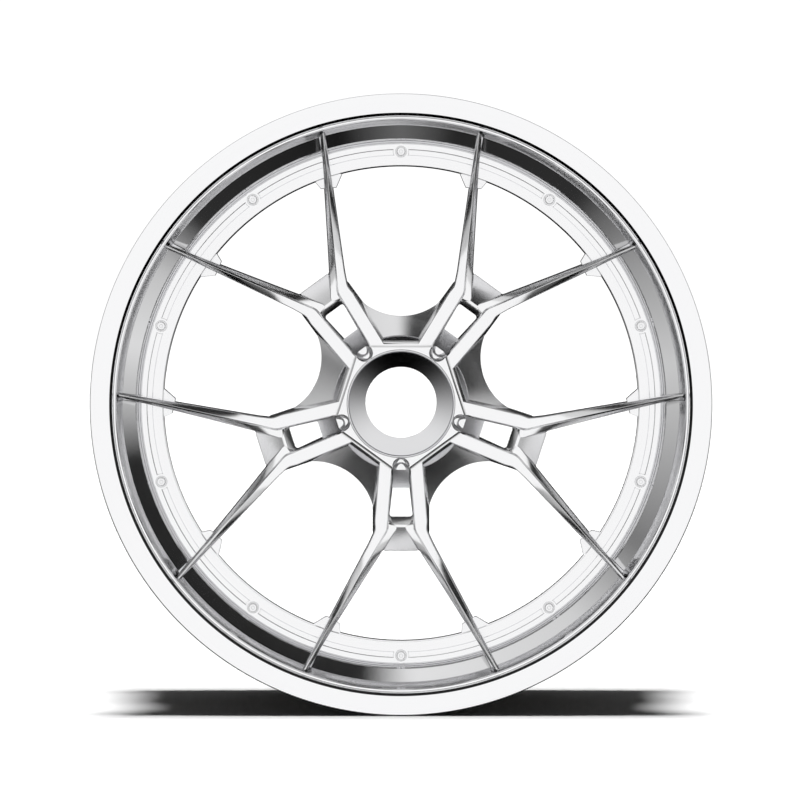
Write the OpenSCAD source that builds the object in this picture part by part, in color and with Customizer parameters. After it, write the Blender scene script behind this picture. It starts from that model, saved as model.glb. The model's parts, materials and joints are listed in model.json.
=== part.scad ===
// Centre-lock forged racing wheel rim in three bolted parts, with its tyre valve.
// Wheel frame inside each module: +z is outboard (towards the face) and z = 0 is the hub mounting face.
// The finished part stands upright: the axle lies along Y, the face looks towards -Y and +Z is up.

/* [Rim] */
// Bead seat diameter, the nominal rim size
bead_seat_d = 508; // [480:1:610]
// Width between the two bead flanges
rim_width = 241.3; // [210:0.1:300]
// Height of the bead flanges above the bead seat
flange_height = 17.5; // [14:0.1:20]
// Thickness of a bead flange from its tyre side to its outer face
flange_thickness = 12.5; // [11:0.1:16]
// Distance from the rim's middle to the mounting face
wheel_offset = 20; // [0:1:45]
// Wall of the rolled barrel
barrel_wall = 4.6; // [4:0.1:8]
// Depth of the tyre fitting well below the bead seat
well_depth = 18; // [15:0.5:24]
// Width of the well's floor
well_width = 38; // [30:1:60]
// Height of the safety humps
hump_height = 0.9; // [0.4:0.1:1.5]

/* [Step lip] */
// Radial width of the lip's polished front face
lip_face_w = 17.2; // [14:0.1:22]
// Depth of the steep wall inside the lip
lip_wall_depth = 23.8; // [12:0.1:30]
// Radial fall of the steep wall over that depth
lip_wall_draft = 3.4; // [1:0.1:6]
// Radial width of the sloping step
step_w = 11.4; // [8:0.1:18]
// Depth of the sloping step
step_depth = 6.8; // [4:0.1:18]

/* [Bolted joint] */
// Depth of the wheel centre's seat behind the rim's front face
joint_depth = 53.15; // [46:0.05:70]
// Thickness of the wheel centre's bolting ring
ring_t = 12; // [9:0.5:16]
// Radial width of the bolting ring
ring_w = 22.8; // [20:0.1:30]
// Thickness of each rim half's bolting flange
half_flange_t = 8; // [6:0.5:12]
// Number of assembly bolts
bolt_count = 10; // [5:5:20]
// Assembly bolt thread diameter
bolt_d = 6; // [5:1:8]
// Assembly bolt head diameter
bolt_head_d = 8.2; // [7:0.1:12]
// Assembly bolt head height
bolt_head_h = 5; // [3:0.1:8]
// Height of a self-locking nut
nut_h = 6; // [4:0.5:9]
// Width across the flats of a self-locking nut
nut_af = 10; // [8:0.5:14]
// Thickness of the washers
washer_t = 1.2; // [0.8:0.1:2]

/* [Hub] */
// Width of the pad's flat mounting face outside the drive pin bushes
pad_margin = 3; // [1:0.5:10]
// Diameter of the centring bore at the mounting face
hub_bore_d = 66.6; // [57:0.1:84]
// Depth of the centring bore
hub_bore_depth = 14; // [10:0.5:20]
// Diameter of the throat at the small end of the centre nut's cone
throat_d = 63.4; // [50:0.1:80]
// Diameter of the cone's mouth
cone_mouth_d = 91.6; // [80:0.1:110]
// Height of the hub's front face above the mounting face
hub_face_z = 69; // [55:1:90]
// Wall of the hard seat pressed into the hub for the centre nut
seat_wall = 2; // [1.5:0.1:5]
// Pitch circle of the drive pin bushes
drive_pcd = 112; // [100:0.1:130]
// Number of drive pins, one behind each spoke
spoke_count = 5; // [3:1:7]
// Outer diameter of a drive pin bush
bush_od = 20; // [16:0.5:24]
// Inner diameter of a drive pin bush
bush_id = 14.2; // [12:0.1:18]
// Length of a drive pin bush
bush_len = 20; // [14:0.5:30]

/* [Spokes] */
// Half width of the slot between a stem's rails, at the drive pin circle
slot_half_w = 7.6; // [6:0.1:9]
// Outward spread of each rail's inner edge, per millimetre of length
rail_spread = 0.08; // [0:0.01:0.15]
// Width of a rail's top
rail_top_w = 11.7; // [9:0.1:15]
// Distance from the axle to where the twin arms part
fork_u = 111.5; // [100:0.5:130]
// Sideways run of an arm's ridge, per millimetre away from the axle
arm_slope = 0.598; // [0.45:0.001:0.7]
// Width of an arm's outer facet where the arms part
arm_outer_w = 8.9; // [7:0.1:12]
// Width of an arm's inner facet where the arms part
arm_inner_w = 8.2; // [5:0.1:10]
// Width of each facet at the arm's tip
arm_tip_w = 2.2; // [1.5:0.1:4]
// Height of the small step along the ridge
ridge_step = 1.7; // [0.8:0.1:3]
// Height of the lowest point of the spoke's front edge
spoke_dip_z = 63.5; // [50:0.5:75]
// Gap between an arm's tip and the lip's wall
tip_gap = 1.4; // [0.8:0.1:4]

/* [Valve] */
// Position of the valve around the wheel, counter-clockwise from the right
valve_angle = 324.2; // [0:0.1:359]
// Diameter of the valve hole
valve_hole_d = 11.4; // [8:0.1:12]
// Diameter of the valve stem
valve_stem_d = 7.8; // [7:0.1:9]
// Length of stem that stands inside the barrel
valve_reach = 24; // [20:0.5:32]
// Travel of the core pin
core_travel = 1.2; // [0.8:0.1:2]

/* [Hidden] */
$fn = 96;

// Clearances
fit = 0.05;
slip = 0.15;
loose = 0.3;

// Rim stations
seat_r = bead_seat_d / 2;
rim_r = seat_r + flange_height;
front_bead_z = rim_width / 2 - wheel_offset;
rear_bead_z = -rim_width / 2 - wheel_offset;
front_z = front_bead_z + flange_thickness;
rear_z = rear_bead_z - flange_thickness;
bead_seat_w = 20;
bead_taper = 1.7;

// Lip stations, from the front face inwards and rearwards
face_in_r = rim_r - lip_face_w;
ledge_r = face_in_r - 4.9;
ledge_z = front_z - 7.4;
wall_r = ledge_r - 0.8;
wall_z = ledge_z - 1.2;
wall_end_r = wall_r - lip_wall_draft;
wall_end_z = wall_z - lip_wall_depth;
step_end_r = wall_end_r - 0.4 - step_w;
step_end_z = wall_end_z - 0.6 - step_depth;
recess_r = step_end_r - 1.6;

// Wall of the lip around the wheel centre's recess
lip_joint_wall = 4.2;

// Bolting ring stations
joint_z = front_z - joint_depth;
ring_pilot_r = recess_r - slip;
ring_r = recess_r - 1.9;
ring_in_r = ring_r - ring_w + 1.8;
ring_face_z = joint_z + ring_t;
bolt_r = ring_r - 8.2;
half_in_r = ring_in_r + 0.9;
lip_flange_z = joint_z - half_flange_t;
barrel_flange_z = lip_flange_z - half_flange_t;
bolt_hole_d = bolt_d + 2 * slip;
boss_r = bolt_head_d / 2 + 2.9;
counterbore_r = bolt_head_d / 2 + 0.9;
counterbore_depth = 2.6;
bolt_washer_r = counterbore_r - slip;
nut_washer_r = nut_af / 2 + 1.2;

// Barrel stations
well_r = seat_r - well_depth;
lip_well_r = max(well_r, recess_r + lip_joint_wall);
well_end_z = barrel_flange_z + half_flange_t - well_width - 4;
barrel_r = seat_r - 5;
slope_end_z = well_end_z - 30;

// Seal groove at the outer edge of the joint between the rim halves
seal_r = well_r - 3.4;
seal_section_r = 1.5;
groove_depth = 2.2;

// Hub stations
hub_flat_r = cone_mouth_d / 2 + 3.7;
hub_foot_r = hub_flat_r + 6.2;
hub_foot_z = hub_face_z - 20;
nose_chamfer = 3.8;
pad_edge_z = 24;
pad_mid_z = pad_edge_z + 14;
pad_face_d = drive_pcd + bush_od + 2 * pad_margin;
// The pad reaches out under the stems and is scalloped between them
pad_reach = fork_u - 7.5;
scallop_r = 53;
scallop_centre_r = pad_reach + 26;
slot_end_r = slot_half_w;
slot_wall_w = 0.9;
// The slot's round end just touches the seat's rim, and its window starts outside the bush
slot_end_u = cone_mouth_d / 2 + seat_wall + slot_end_r - 0.4;
window_start_u = (drive_pcd + bush_od) / 2 + 9.7;
window_end_u = fork_u - 11;
seat_base_z = hub_bore_depth + 4;
mouth_lip = 1.2;

// Arm stations. The rails' rear leaves the pad at rise_u and their front is lowest at dip_u
u_axis_start = 44;
rise_u = drive_pcd / 2 + 14;
dip_u = fork_u - 6.5;
rail_rear_z = 12;
arm_rear_z = 30;
rail_shares = [0, 0.2, 0.44, 0.67];
arm_shares = [0, 0.24, 0.52, 0.8, 1];
tip_r = ledge_r - 0.8 - lip_wall_draft * 0.27 - tip_gap;
// The ridge is a straight line, so its tip lies where that line meets the tip radius
ridge_c = slot_half_w + rail_spread * (fork_u - drive_pcd / 2) - arm_slope * fork_u;
tip_u = ridge_u(tip_r);
ring_u = ridge_u(ring_in_r);
arms_start_r = fork_u + 28.5;
arms_end_r = ring_in_r - 4;
over_u = ridge_u(ring_r + 1.2);
spoke_pitch = 360 / spoke_count;
foot_v = slot_half_w + rail_top_w + 6;
tip_top_z = ledge_z - 1.7;
tip_t = 4.6;

// Valve stations, measured from the barrel's inside towards the axle
valve_seat_r = well_r - barrel_wall - 0.4;
valve_z = barrel_flange_z - 18;
valve_pad_t = barrel_wall - 0.6;
seal_t = 2.3;
valve_head_t = 2.5;
valve_head_r = 7.6;
valve_nut_h = 5.5;
valve_nut_af = 12;
core_thread_d = 5.2;
core_bore_d = 3.4;
core_len = 9;
core_top = valve_reach - 1;
pin_d = 1.3;
cap_len = 11.5;
cap_r = 4.9;
cap_wall = 0.9;
cap_bottom = valve_reach - cap_len + 2.6;

// ---------- small helpers ----------

function unit2(a) = a / norm(a);

// Value a given share of the way from low to high
function between(low, high, share) = low + (high - low) * share;

// Distance along the stem at which an arm's ridge is at radius r
function ridge_u(r) =
    (-arm_slope * ridge_c + sqrt(r * r * (1 + arm_slope * arm_slope) - ridge_c * ridge_c))
        / (1 + arm_slope * arm_slope);

// Arc that replaces corner p between its neighbours a and b
function fillet(a, p, b, r, steps = 5) =
    let (
        da = unit2(a - p),
        db = unit2(b - p),
        half = acos(da * db) / 2,
        reach = r / tan(half),
        centre = p + unit2(da + db) * r / sin(half),
        from = p + da * reach - centre,
        to = p + db * reach - centre,
        start = atan2(from[1], from[0]),
        turn = atan2(from[0] * to[1] - from[1] * to[0], from * to)
    )
    [for (i = [0:steps]) centre + r * [cos(start + turn * i / steps), sin(start + turn * i / steps)]];

// Outline from corners [x, y, radius], radius 0 keeping the corner sharp
function outline(corners) = [
    for (i = [0:len(corners) - 1])
        let (
            n = len(corners),
            c = corners[i],
            p = [c[0], c[1]],
            a = [corners[(i + n - 1) % n][0], corners[(i + n - 1) % n][1]],
            b = [corners[(i + 1) % n][0], corners[(i + 1) % n][1]]
        )
        each (c[2] == 0 ? [p] : fillet(a, p, b, c[2]))
];

// Turns a wheel-frame child so that the wheel stands upright, facing -Y
module upright() {
    rotate([90, 0, 0]) children();
}

// Solid of revolution about the axle from [r, z, fillet] corners
module ring(corners) {
    rotate_extrude($fn = 360) polygon(outline(corners));
}

// Repeats a child around the axle, the first one pointing straight down
module each_spoke() {
    for (i = [0:spoke_count - 1]) {
        rotate([0, 0, -90 + i * spoke_pitch]) children();
    }
}

// Repeats a child at the assembly bolts
module each_bolt() {
    for (i = [0:bolt_count - 1]) {
        rotate([0, 0, 90 + i * 360 / bolt_count]) translate([bolt_r, 0, 0]) children();
    }
}

// Plain tube standing on z
module tube(outer_r, inner_r, z0, z1) {
    translate([0, 0, z0]) difference() {
        cylinder(r = outer_r, h = z1 - z0);
        translate([0, 0, -1]) cylinder(r = inner_r, h = z1 - z0 + 2);
    }
}

// Solid skinned over sections that all have the same number of points
module loft(sections) {
    n = len(sections[0]);
    last = len(sections) - 1;
    points = [for (s = sections) each s];
    sides = [
        for (i = [0:last - 1])
            for (j = [0:n - 1])
                let (a = i * n + j, b = i * n + (j + 1) % n, c = b + n, d = a + n)
                each [[a, c, b], [a, d, c]]
    ];
    start_cap = [for (j = [1:n - 2]) [0, j, j + 1]];
    end_cap = [for (j = [1:n - 2]) [last * n, last * n + j + 1, last * n + j]];
    polyhedron(points, concat(sides, start_cap, end_cap), convexity = 6);
}

// ---------- rim halves ----------

module outer_lip() {
    color("silver") upright() difference() {
        ring([
            [half_in_r, joint_z, 0],
            [recess_r, joint_z, 0],
            [recess_r, step_end_z - 1.6, 1],
            [step_end_r, step_end_z, 1.2],
            [wall_end_r - 0.4, wall_end_z - 0.6, 1],
            [wall_r, wall_z, 0.5],
            [ledge_r, ledge_z, 0.4],
            [face_in_r - 3.4, ledge_z + 0.6, 0.4],
            [face_in_r - 2.4, front_z - 4, 0.6],
            [face_in_r, front_z - 1.7, 0.8],
            [face_in_r + 4.6, front_z - 0.8, 5],
            [face_in_r + 6.8, front_z - 1.1, 5],
            [face_in_r + 8.8, front_z, 5],
            [rim_r - 5.4, front_z, 7],
            [rim_r, front_z - 4.2, 3.4],
            [rim_r, front_bead_z + 4.5, 2],
            [rim_r - 4.5, front_bead_z, 6],
            [seat_r, front_bead_z, 6],
            [seat_r - bead_taper, front_bead_z - bead_seat_w, 1],
            [seat_r - bead_taper + hump_height, front_bead_z - bead_seat_w - 2.5, 2],
            [seat_r - bead_taper - 1.2, front_bead_z - bead_seat_w - 7, 3],
            [lip_well_r + 3.2, lip_flange_z + 11, 4],
            [lip_well_r, lip_flange_z + 5, 3],
            [lip_well_r, lip_flange_z, 0],
            [half_in_r, lip_flange_z, 0.8]
        ]);
        each_bolt() translate([0, 0, lip_flange_z - 1]) cylinder(d = bolt_hole_d, h = half_flange_t + 2);
    }
}

module inner_barrel() {
    color("gainsboro") upright() difference() {
        ring([
            [half_in_r, barrel_flange_z, 0.8],
            [half_in_r, lip_flange_z, 0],
            [seal_r - seal_section_r, lip_flange_z, 0],
            [seal_r - seal_section_r, lip_flange_z - groove_depth, 0],
            [seal_r + seal_section_r, lip_flange_z - groove_depth, 0],
            [seal_r + seal_section_r, lip_flange_z, 0],
            [well_r, lip_flange_z, 0],
            [well_r, well_end_z, 14],
            [barrel_r, slope_end_z, 14],
            [barrel_r, rear_bead_z + bead_seat_w + 7, 4],
            [seat_r - bead_taper + hump_height, rear_bead_z + bead_seat_w + 2.5, 2],
            [seat_r - bead_taper, rear_bead_z + bead_seat_w, 1],
            [seat_r, rear_bead_z, 6],
            [rim_r - 4.5, rear_bead_z, 6],
            [rim_r, rear_bead_z - 4.5, 2],
            [rim_r, rear_z + 3.4, 2.6],
            [rim_r - 3.6, rear_z, 3],
            [face_in_r + 1, rear_z, 4],
            [face_in_r - 5.6, rear_z + 4, 4],
            [seat_r - bead_taper - 5.8, rear_bead_z + bead_seat_w, 20],
            [barrel_r - barrel_wall, rear_bead_z + bead_seat_w + 12, 20],
            [barrel_r - barrel_wall, slope_end_z - 1, 14],
            [well_r - barrel_wall, well_end_z - 1, 14],
            [well_r - barrel_wall, barrel_flange_z, 3]
        ]);
        each_bolt() translate([0, 0, barrel_flange_z - 1]) cylinder(d = bolt_hole_d, h = half_flange_t + 2);
        at_valve() {
            translate([0, 0, -valve_pad_t - 5]) cylinder(d = valve_hole_d, h = valve_pad_t + 10);
            translate([0, 0, 0]) cylinder(r = valve_head_r + 1.6, h = 4);
            translate([0, 0, -valve_pad_t - 4]) cylinder(r = valve_head_r + 1.6, h = 4);
        }
    }
}

module rim_seal_ring() {
    color("dimgray") upright()
        rotate_extrude($fn = 360) translate([seal_r, lip_flange_z - groove_depth / 2])
            intersection() {
                circle(r = seal_section_r - fit, $fn = 24);
                square([2 * seal_section_r, groove_depth], center = true);
            }
}

// ---------- wheel centre ----------

// Height of the spoke's front edge at distance u along the stem
function top_z(u) = u < dip_u
    ? between(spoke_dip_z, hub_face_z - 0.15, pow((dip_u - u) / (dip_u - u_axis_start), 2))
    : between(spoke_dip_z, tip_top_z, pow((u - dip_u) / (tip_u - dip_u), 1.75));

// Sideways place of the ridge: a straight rail first, then a straight arm
function ridge_v(u) = u < fork_u
    ? slot_half_w + rail_spread * (u - drive_pcd / 2)
    : ridge_c + arm_slope * u;

// Share of the way from the fork to the tip
function along(u) = max(0, (u - fork_u) / (tip_u - fork_u));

// Width of the outer facet: the rail's top, narrowing through the bend to the arm's tip
function outer_w(u) = u < fork_u - 8
    ? rail_top_w
    : u < fork_u + 12
        ? between(rail_top_w, arm_outer_w, (u - fork_u + 8) / 20)
        : between(arm_outer_w, arm_tip_w, (u - fork_u - 12) / (tip_u - fork_u - 12));

// Width of the inner facet: none along the slot, widest where the arms part, narrowing to the tip
function inner_w(u) = u < fork_u - 7
    ? slot_wall_w
    : u < fork_u - 3
        ? between(slot_wall_w, arm_inner_w, (u - fork_u + 7) / 4)
        : between(arm_inner_w, arm_tip_w, pow(along(u), 0.62));

// Sideways lean of the inner wall from front to rear, largest in the crotch between the arms
function inner_draft(u) = u > fork_u + 1 && u < fork_u + 18 ? 4.2 : 1.4 - 0.6 * along(u);

// Height of the arm's rear edge: low on the hub pad, inside the bolting ring, then over the step
function rear_z_at(u) =
    let (seat_z = joint_z + 1, over_z = step_end_z + 1.6)
    u < rise_u ? rail_rear_z
    : u < fork_u + 8 ? between(rail_rear_z, arm_rear_z, (u - rise_u) / (fork_u + 8 - rise_u))
    : u < ring_u ? between(arm_rear_z, seat_z, (u - fork_u - 8) / (ring_u - fork_u - 8))
    : u < over_u ? between(seat_z, over_z, (u - ring_u) / (over_u - ring_u))
    : between(over_z, tip_top_z - tip_t, pow((u - over_u) / (tip_u - over_u), 1.5));

// Five-cornered section of a rail or arm at distance u, on the side given by side = 1 or -1
function arm_section(u, side) =
    let (
        top = top_z(u),
        rear = rear_z_at(u),
        ridge = ridge_v(u),
        tilt = 0.4 + 1.8 * min(1, along(u) * 4),
        step = ridge_step * (1 - 0.5 * along(u)),
        outer = ridge + outer_w(u),
        inner = ridge - inner_w(u),
        foot = u < fork_u + 4 ? max(foot_v, outer + 0.4) : outer + 0.4,
        drop = 1.2 + 2.4 * min(1, along(u) * 5) * (1 - 0.5 * along(u))
    )
    [
        [u, side * foot, rear],
        [u, side * outer, top - tilt],
        [u, side * (ridge + 0.9), top],
        [u, side * (ridge - min(0.9, inner_w(u) - 0.3)), top - step],
        [u, side * inner, top - step - drop],
        [u, side * (inner - inner_draft(u)), rear]
    ];

module arm(side) {
    stations = [
        for (k = rail_shares) between(u_axis_start, fork_u - 8, k),
        fork_u - 8, fork_u - 3, fork_u, fork_u + 4, fork_u + 10, fork_u + 17,
        for (k = arm_shares) between(fork_u + 23, ring_u, k),
        over_u, tip_u - 8, tip_u
    ];
    sections = [for (u = stations) arm_section(u, side)];
    // Mirroring turns the sections round, so the order of the points is turned back
    loft(side > 0 ? sections : [for (s = sections) [for (j = [len(s) - 1:-1:0]) s[j]]]);
}

// Web that joins the rails: its slot side leans back, its front slopes down between the arms
module web() {
    land_z = top_z(fork_u) - ridge_step - 1.3;
    foot_z = arm_rear_z - 5;
    rotate([90, 0, 0]) linear_extrude(height = 2 * rail_top_w + 6, center = true) polygon(outline([
        [window_end_u, foot_z, 0],
        [fork_u - 5, land_z, 0.8],
        [fork_u - 2.4, land_z, 1.5],
        [fork_u + 19.5, land_z - 14, 0],
        [fork_u + 16, arm_rear_z, 0]
    ]));
}

// Small stepped foot beside an arm, where it meets the bolting ring
module arm_foot(side) {
    outer_half = 14.5;
    inner_half = 13;
    reach = 9;
    translate([ring_u, side * ridge_v(ring_u), joint_z]) rotate([0, 0, side * atan(arm_slope)])
        linear_extrude(height = ring_t - 3) polygon([
            [-reach, -inner_half / 2],
            [-reach, outer_half / 2],
            [reach / 2, outer_half],
            [reach + 3, outer_half],
            [reach + 3, -inner_half],
            [0, -inner_half]
        ] * [[1, 0], [0, side]]);
}

module hub_pad() {
    difference() {
        ring([
            [throat_d / 2 + 6, 0, 0],
            [pad_face_d / 2, 0, 0],
            [pad_reach, 16, 0],
            [pad_reach, pad_edge_z - 2, 0],
            [window_start_u, pad_mid_z, 0],
            [hub_foot_r, hub_foot_z, 0],
            [throat_d / 2 + 6, hub_foot_z, 0]
        ]);
        each_spoke() rotate([0, 0, spoke_pitch / 2]) translate([scallop_centre_r, 0, -1])
            cylinder(r = scallop_r, h = pad_edge_z + 60);
    }
}

// Five-sided nose with one flat between each pair of stems, chamfered round its front
module hub_core() {
    corner = 1 / cos(spoke_pitch / 2);
    cylinder(r = hub_foot_r, h = hub_foot_z);
    rotate([0, 0, -90]) {
        translate([0, 0, hub_foot_z - 20])
            cylinder(r = hub_foot_r * corner, h = hub_face_z - nose_chamfer - hub_foot_z + 20, $fn = spoke_count);
        translate([0, 0, hub_face_z - nose_chamfer])
            cylinder(r1 = hub_foot_r * corner, r2 = hub_flat_r * corner, h = nose_chamfer, $fn = spoke_count);
    }
}

module forging() {
    difference() {
        union() {
            bolting_ring();
            hub_pad();
            hub_core();
            each_spoke() {
                arm(1);
                arm(-1);
                web();
                arm_foot(1);
                arm_foot(-1);
            }
        }
        each_spoke() stem_pocket();
        hub_bores();
        each_bolt() {
            translate([0, 0, joint_z - 1]) cylinder(d = bolt_hole_d, h = ring_t + 2);
            translate([0, 0, ring_face_z - counterbore_depth]) cylinder(r = counterbore_r, h = ring_t);
        }
    }
}

// The forging is one piece of metal. It is drawn as three nodes that meet face to face, so that
// each node bends around fewer of the openings.
module forging_zone(inner_r, outer_r) {
    color("whitesmoke") upright() difference() {
        intersection() {
            forging();
            translate([0, 0, -1]) cylinder(r = outer_r, h = front_z + 2);
        }
        if (inner_r > 0) translate([0, 0, -2]) cylinder(r = inner_r, h = front_z + 4);
    }
}

// Nose, pads and stems, out to where the two arms of each spoke have parted
module centre_hub() {
    forging_zone(0, arms_start_r);
}

// The ten arms, two to a spoke, up to the ring
module centre_arms() {
    forging_zone(arms_start_r, arms_end_r);
}

// Ring that is bolted between the rim halves, with the arms' tips
module centre_ring() {
    forging_zone(arms_end_r, rim_r);
}

// Ring bolted to the rim halves, with a groove that stops at a round boss at each bolt
module bolting_ring() {
    groove_w = 4.4;
    groove_r = bolt_r - 0.6;
    ring([
        [ring_in_r, joint_z, 0],
        [ring_pilot_r, joint_z, 0],
        [ring_pilot_r, joint_z + 3.5, 0.5],
        [ring_r, joint_z + 5.2, 0],
        [ring_r, ring_face_z - 1.8, 0.5],
        [ring_r - 1.8, ring_face_z, 0.5],
        [groove_r + groove_w / 2 + 0.4, ring_face_z, 0],
        [groove_r + groove_w / 2, ring_face_z - 1.2, 0],
        [groove_r - groove_w / 2, ring_face_z - 1.2, 0],
        [groove_r - groove_w / 2 - 0.4, ring_face_z, 0],
        [ring_in_r + 0.9, ring_face_z, 0.4],
        [ring_in_r, ring_face_z - 2.2, 0.5]
    ]);
    each_bolt() translate([0, 0, joint_z + 5.2]) cylinder(r = boss_r, h = ring_t - 5.2);
}

// Slot between a stem's rails: two rounded steps at the hub, a ramp, then a window right through
module stem_pocket() {
    round_end(slot_end_u, hub_foot_z + 4);
    round_end(slot_end_u + 4.6, hub_foot_z - 4);
    rotate([90, 0, 0]) linear_extrude(height = 2 * slot_end_r, center = true) polygon([
        [slot_end_u + 3, hub_foot_z - 3],
        [window_start_u + 2, pad_edge_z + 4],
        [window_start_u + 2, hub_face_z + 10],
        [slot_end_u + 3, hub_face_z + 10]
    ]);
    translate([0, 0, -1]) slot_block(window_start_u, window_end_u, pad_edge_z + 40);
}

// Round-ended slot with a coved floor, from distance u outwards and from height z upwards
module round_end(u, z) {
    cove = 3.5;
    translate([u, 0, z]) {
        cylinder(r1 = slot_end_r - cove, r2 = slot_end_r, h = cove * 0.8);
        translate([0, 0, cove * 0.8]) cylinder(r = slot_end_r, h = 60);
    }
    translate([0, 0, z]) slot_block(u, window_start_u + 1, 60);
}

// Block whose sides follow the rails' inner faces
module slot_block(u0, u1, h) {
    inset = 1.6;
    linear_extrude(height = h) polygon([
        [u0, -ridge_v(u0) + inset / 2],
        [u1, -ridge_v(u1) + inset],
        [u1, ridge_v(u1) - inset],
        [u0, ridge_v(u0) - inset / 2]
    ]);
}

// Radius of the nut seat's outside at height z
function seat_outer_r(z) = throat_d / 2 + seat_wall
    + (cone_mouth_d - throat_d) / 2 * (z - seat_base_z) / (hub_face_z - seat_base_z);

module hub_bores() {
    translate([0, 0, -1]) cylinder(d = hub_bore_d, h = hub_bore_depth + 1);
    translate([0, 0, 1]) cylinder(d = throat_d, h = seat_base_z);
    translate([0, 0, seat_base_z])
        cylinder(r1 = seat_outer_r(seat_base_z), r2 = seat_outer_r(hub_face_z + 5),
            h = hub_face_z + 5 - seat_base_z);
    each_spoke() translate([drive_pcd / 2, 0, 0]) {
        translate([0, 0, -1]) cylinder(d = bush_od, h = bush_len + 3.5);
        translate([0, 0, 0.8]) tube(bush_od / 2 + 0.8, bush_od / 2 - 1, 0, 1.3);
    }
}

// ---------- hub fittings ----------

module centre_nut_seat() {
    color("darkgray") upright() difference() {
        translate([0, 0, seat_base_z])
            cylinder(r1 = seat_outer_r(seat_base_z) - fit, r2 = seat_outer_r(hub_face_z) - fit,
                h = hub_face_z - seat_base_z);
        translate([0, 0, seat_base_z - 1]) cylinder(d = throat_d, h = 3);
        translate([0, 0, seat_base_z + 1])
            cylinder(d1 = throat_d, d2 = cone_mouth_d, h = hub_face_z - seat_base_z - 1);
        translate([0, 0, hub_face_z - mouth_lip])
            cylinder(d1 = cone_mouth_d - 0.6, d2 = cone_mouth_d + 1, h = mouth_lip + 0.01);
    }
}

module drive_pin_bushes() {
    color("dimgray") upright() each_spoke() translate([drive_pcd / 2, 0, 0])
        difference() {
            tube(bush_od / 2 - 0.02, bush_id / 2, 2.2, 2.2 + bush_len);
            translate([0, 0, 2.1]) cylinder(d1 = bush_id + 2, d2 = bush_id, h = 1.2);
        }
}

module bush_retaining_rings() {
    color("gray") upright() each_spoke() translate([drive_pcd / 2, 0, 0]) difference() {
        tube(bush_od / 2 + 0.6, bush_od / 2 - 1.6, 0.85, 2.05);
        translate([-1.6, 0, 0]) cube([3.2, bush_od, 5]);
    }
}

// ---------- assembly bolts ----------

module twelve_point(r, h) {
    for (a = [0, 30]) {
        rotate([0, 0, a]) cylinder(r = r, h = h, $fn = 6);
    }
}

module assembly_bolts() {
    head_z = ring_face_z - counterbore_depth + washer_t;
    tail_z = barrel_flange_z - washer_t - nut_h - 2;
    color("lightgray") upright() each_bolt() {
        translate([0, 0, tail_z]) cylinder(d = bolt_d, h = head_z - tail_z + 1);
        translate([0, 0, head_z]) cylinder(d = bolt_head_d, h = 1.4);
        translate([0, 0, head_z + 1]) twelve_point(bolt_head_d / 2 - 0.2, bolt_head_h - 1);
    }
}

module bolt_washers() {
    floor_z = ring_face_z - counterbore_depth;
    color("silver") upright() each_bolt()
        tube(bolt_washer_r, bolt_d / 2 + slip, floor_z, floor_z + washer_t);
}

module nut_washers() {
    color("silver") upright() each_bolt()
        tube(nut_washer_r, bolt_d / 2 + slip, barrel_flange_z - washer_t, barrel_flange_z);
}

module lock_nuts() {
    top = barrel_flange_z - washer_t;
    color("gray") upright() each_bolt() difference() {
        union() {
            translate([0, 0, top - nut_h + 1.8])
                cylinder(r = nut_af / 2 / cos(30), h = nut_h - 1.8, $fn = 6);
            translate([0, 0, top - nut_h]) cylinder(d = nut_af - 0.8, h = nut_h);
        }
        translate([0, 0, top - nut_h - 1]) cylinder(d = bolt_d, h = nut_h + 2);
    }
}

// ---------- tyre valve ----------

// Valve frame: z points from the barrel's inside towards the axle
module at_valve() {
    rotate([0, 0, valve_angle]) translate([valve_seat_r, 0, valve_z]) rotate([0, -90, 0]) children();
}

module valve_stem() {
    base = -valve_pad_t - seal_t;
    color("silver") upright() at_valve() difference() {
        union() {
            translate([0, 0, base - valve_head_t]) cylinder(r = valve_head_r, h = valve_head_t);
            translate([0, 0, base - 0.5]) cylinder(d = valve_stem_d, h = valve_reach - base + 0.5);
        }
        translate([0, 0, base - valve_head_t - 1]) cylinder(d = core_bore_d, h = valve_reach - base + 5);
        translate([0, 0, core_top - core_len]) cylinder(d = core_thread_d, h = core_len + 3);
    }
}

module valve_inner_seal() {
    base = -valve_pad_t - seal_t;
    color("black") upright() at_valve() {
        tube(valve_head_r, valve_stem_d / 2, base, -valve_pad_t);
        tube(valve_hole_d / 2, valve_stem_d / 2, -valve_pad_t - 0.2, -valve_pad_t / 2);
    }
}

module valve_outer_seal() {
    color("black") upright() at_valve() {
        tube(valve_head_r, valve_stem_d / 2, 0, seal_t);
        tube(valve_hole_d / 2, valve_stem_d / 2, -valve_pad_t / 2 + loose, 0.2);
    }
}

module valve_washer() {
    color("silver") upright() at_valve()
        tube(valve_head_r, valve_stem_d / 2 + slip, seal_t, seal_t + washer_t);
}

module valve_nut() {
    base = seal_t + washer_t;
    color("gray") upright() at_valve() difference() {
        translate([0, 0, base]) cylinder(r = valve_nut_af / 2 / cos(30), h = valve_nut_h, $fn = 6);
        translate([0, 0, base - 1]) cylinder(d = valve_stem_d, h = valve_nut_h + 2);
    }
}

module valve_core_body() {
    bottom = core_top - core_len;
    color("goldenrod") upright() at_valve() {
        tube(core_thread_d / 2, pin_d / 2 + slip, core_top - 3.6, core_top - 0.4);
        tube(1.35, pin_d / 2 + slip, bottom + 1.2, core_top - 3.4);
        tube(2.1, pin_d / 2 + slip, bottom + 1.2, bottom + 2.2);
    }
}

module valve_core_gasket() {
    bottom = core_top - core_len;
    color("firebrick") upright() at_valve() tube(core_thread_d / 2, 1.35, bottom + 2.2, bottom + 4.4);
}

module valve_core_spring() {
    color("lightsteelblue") upright() at_valve()
        tube(1.45, 0.85, core_top - core_len - 7.2, core_top - core_len - 1.1);
}

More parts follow.
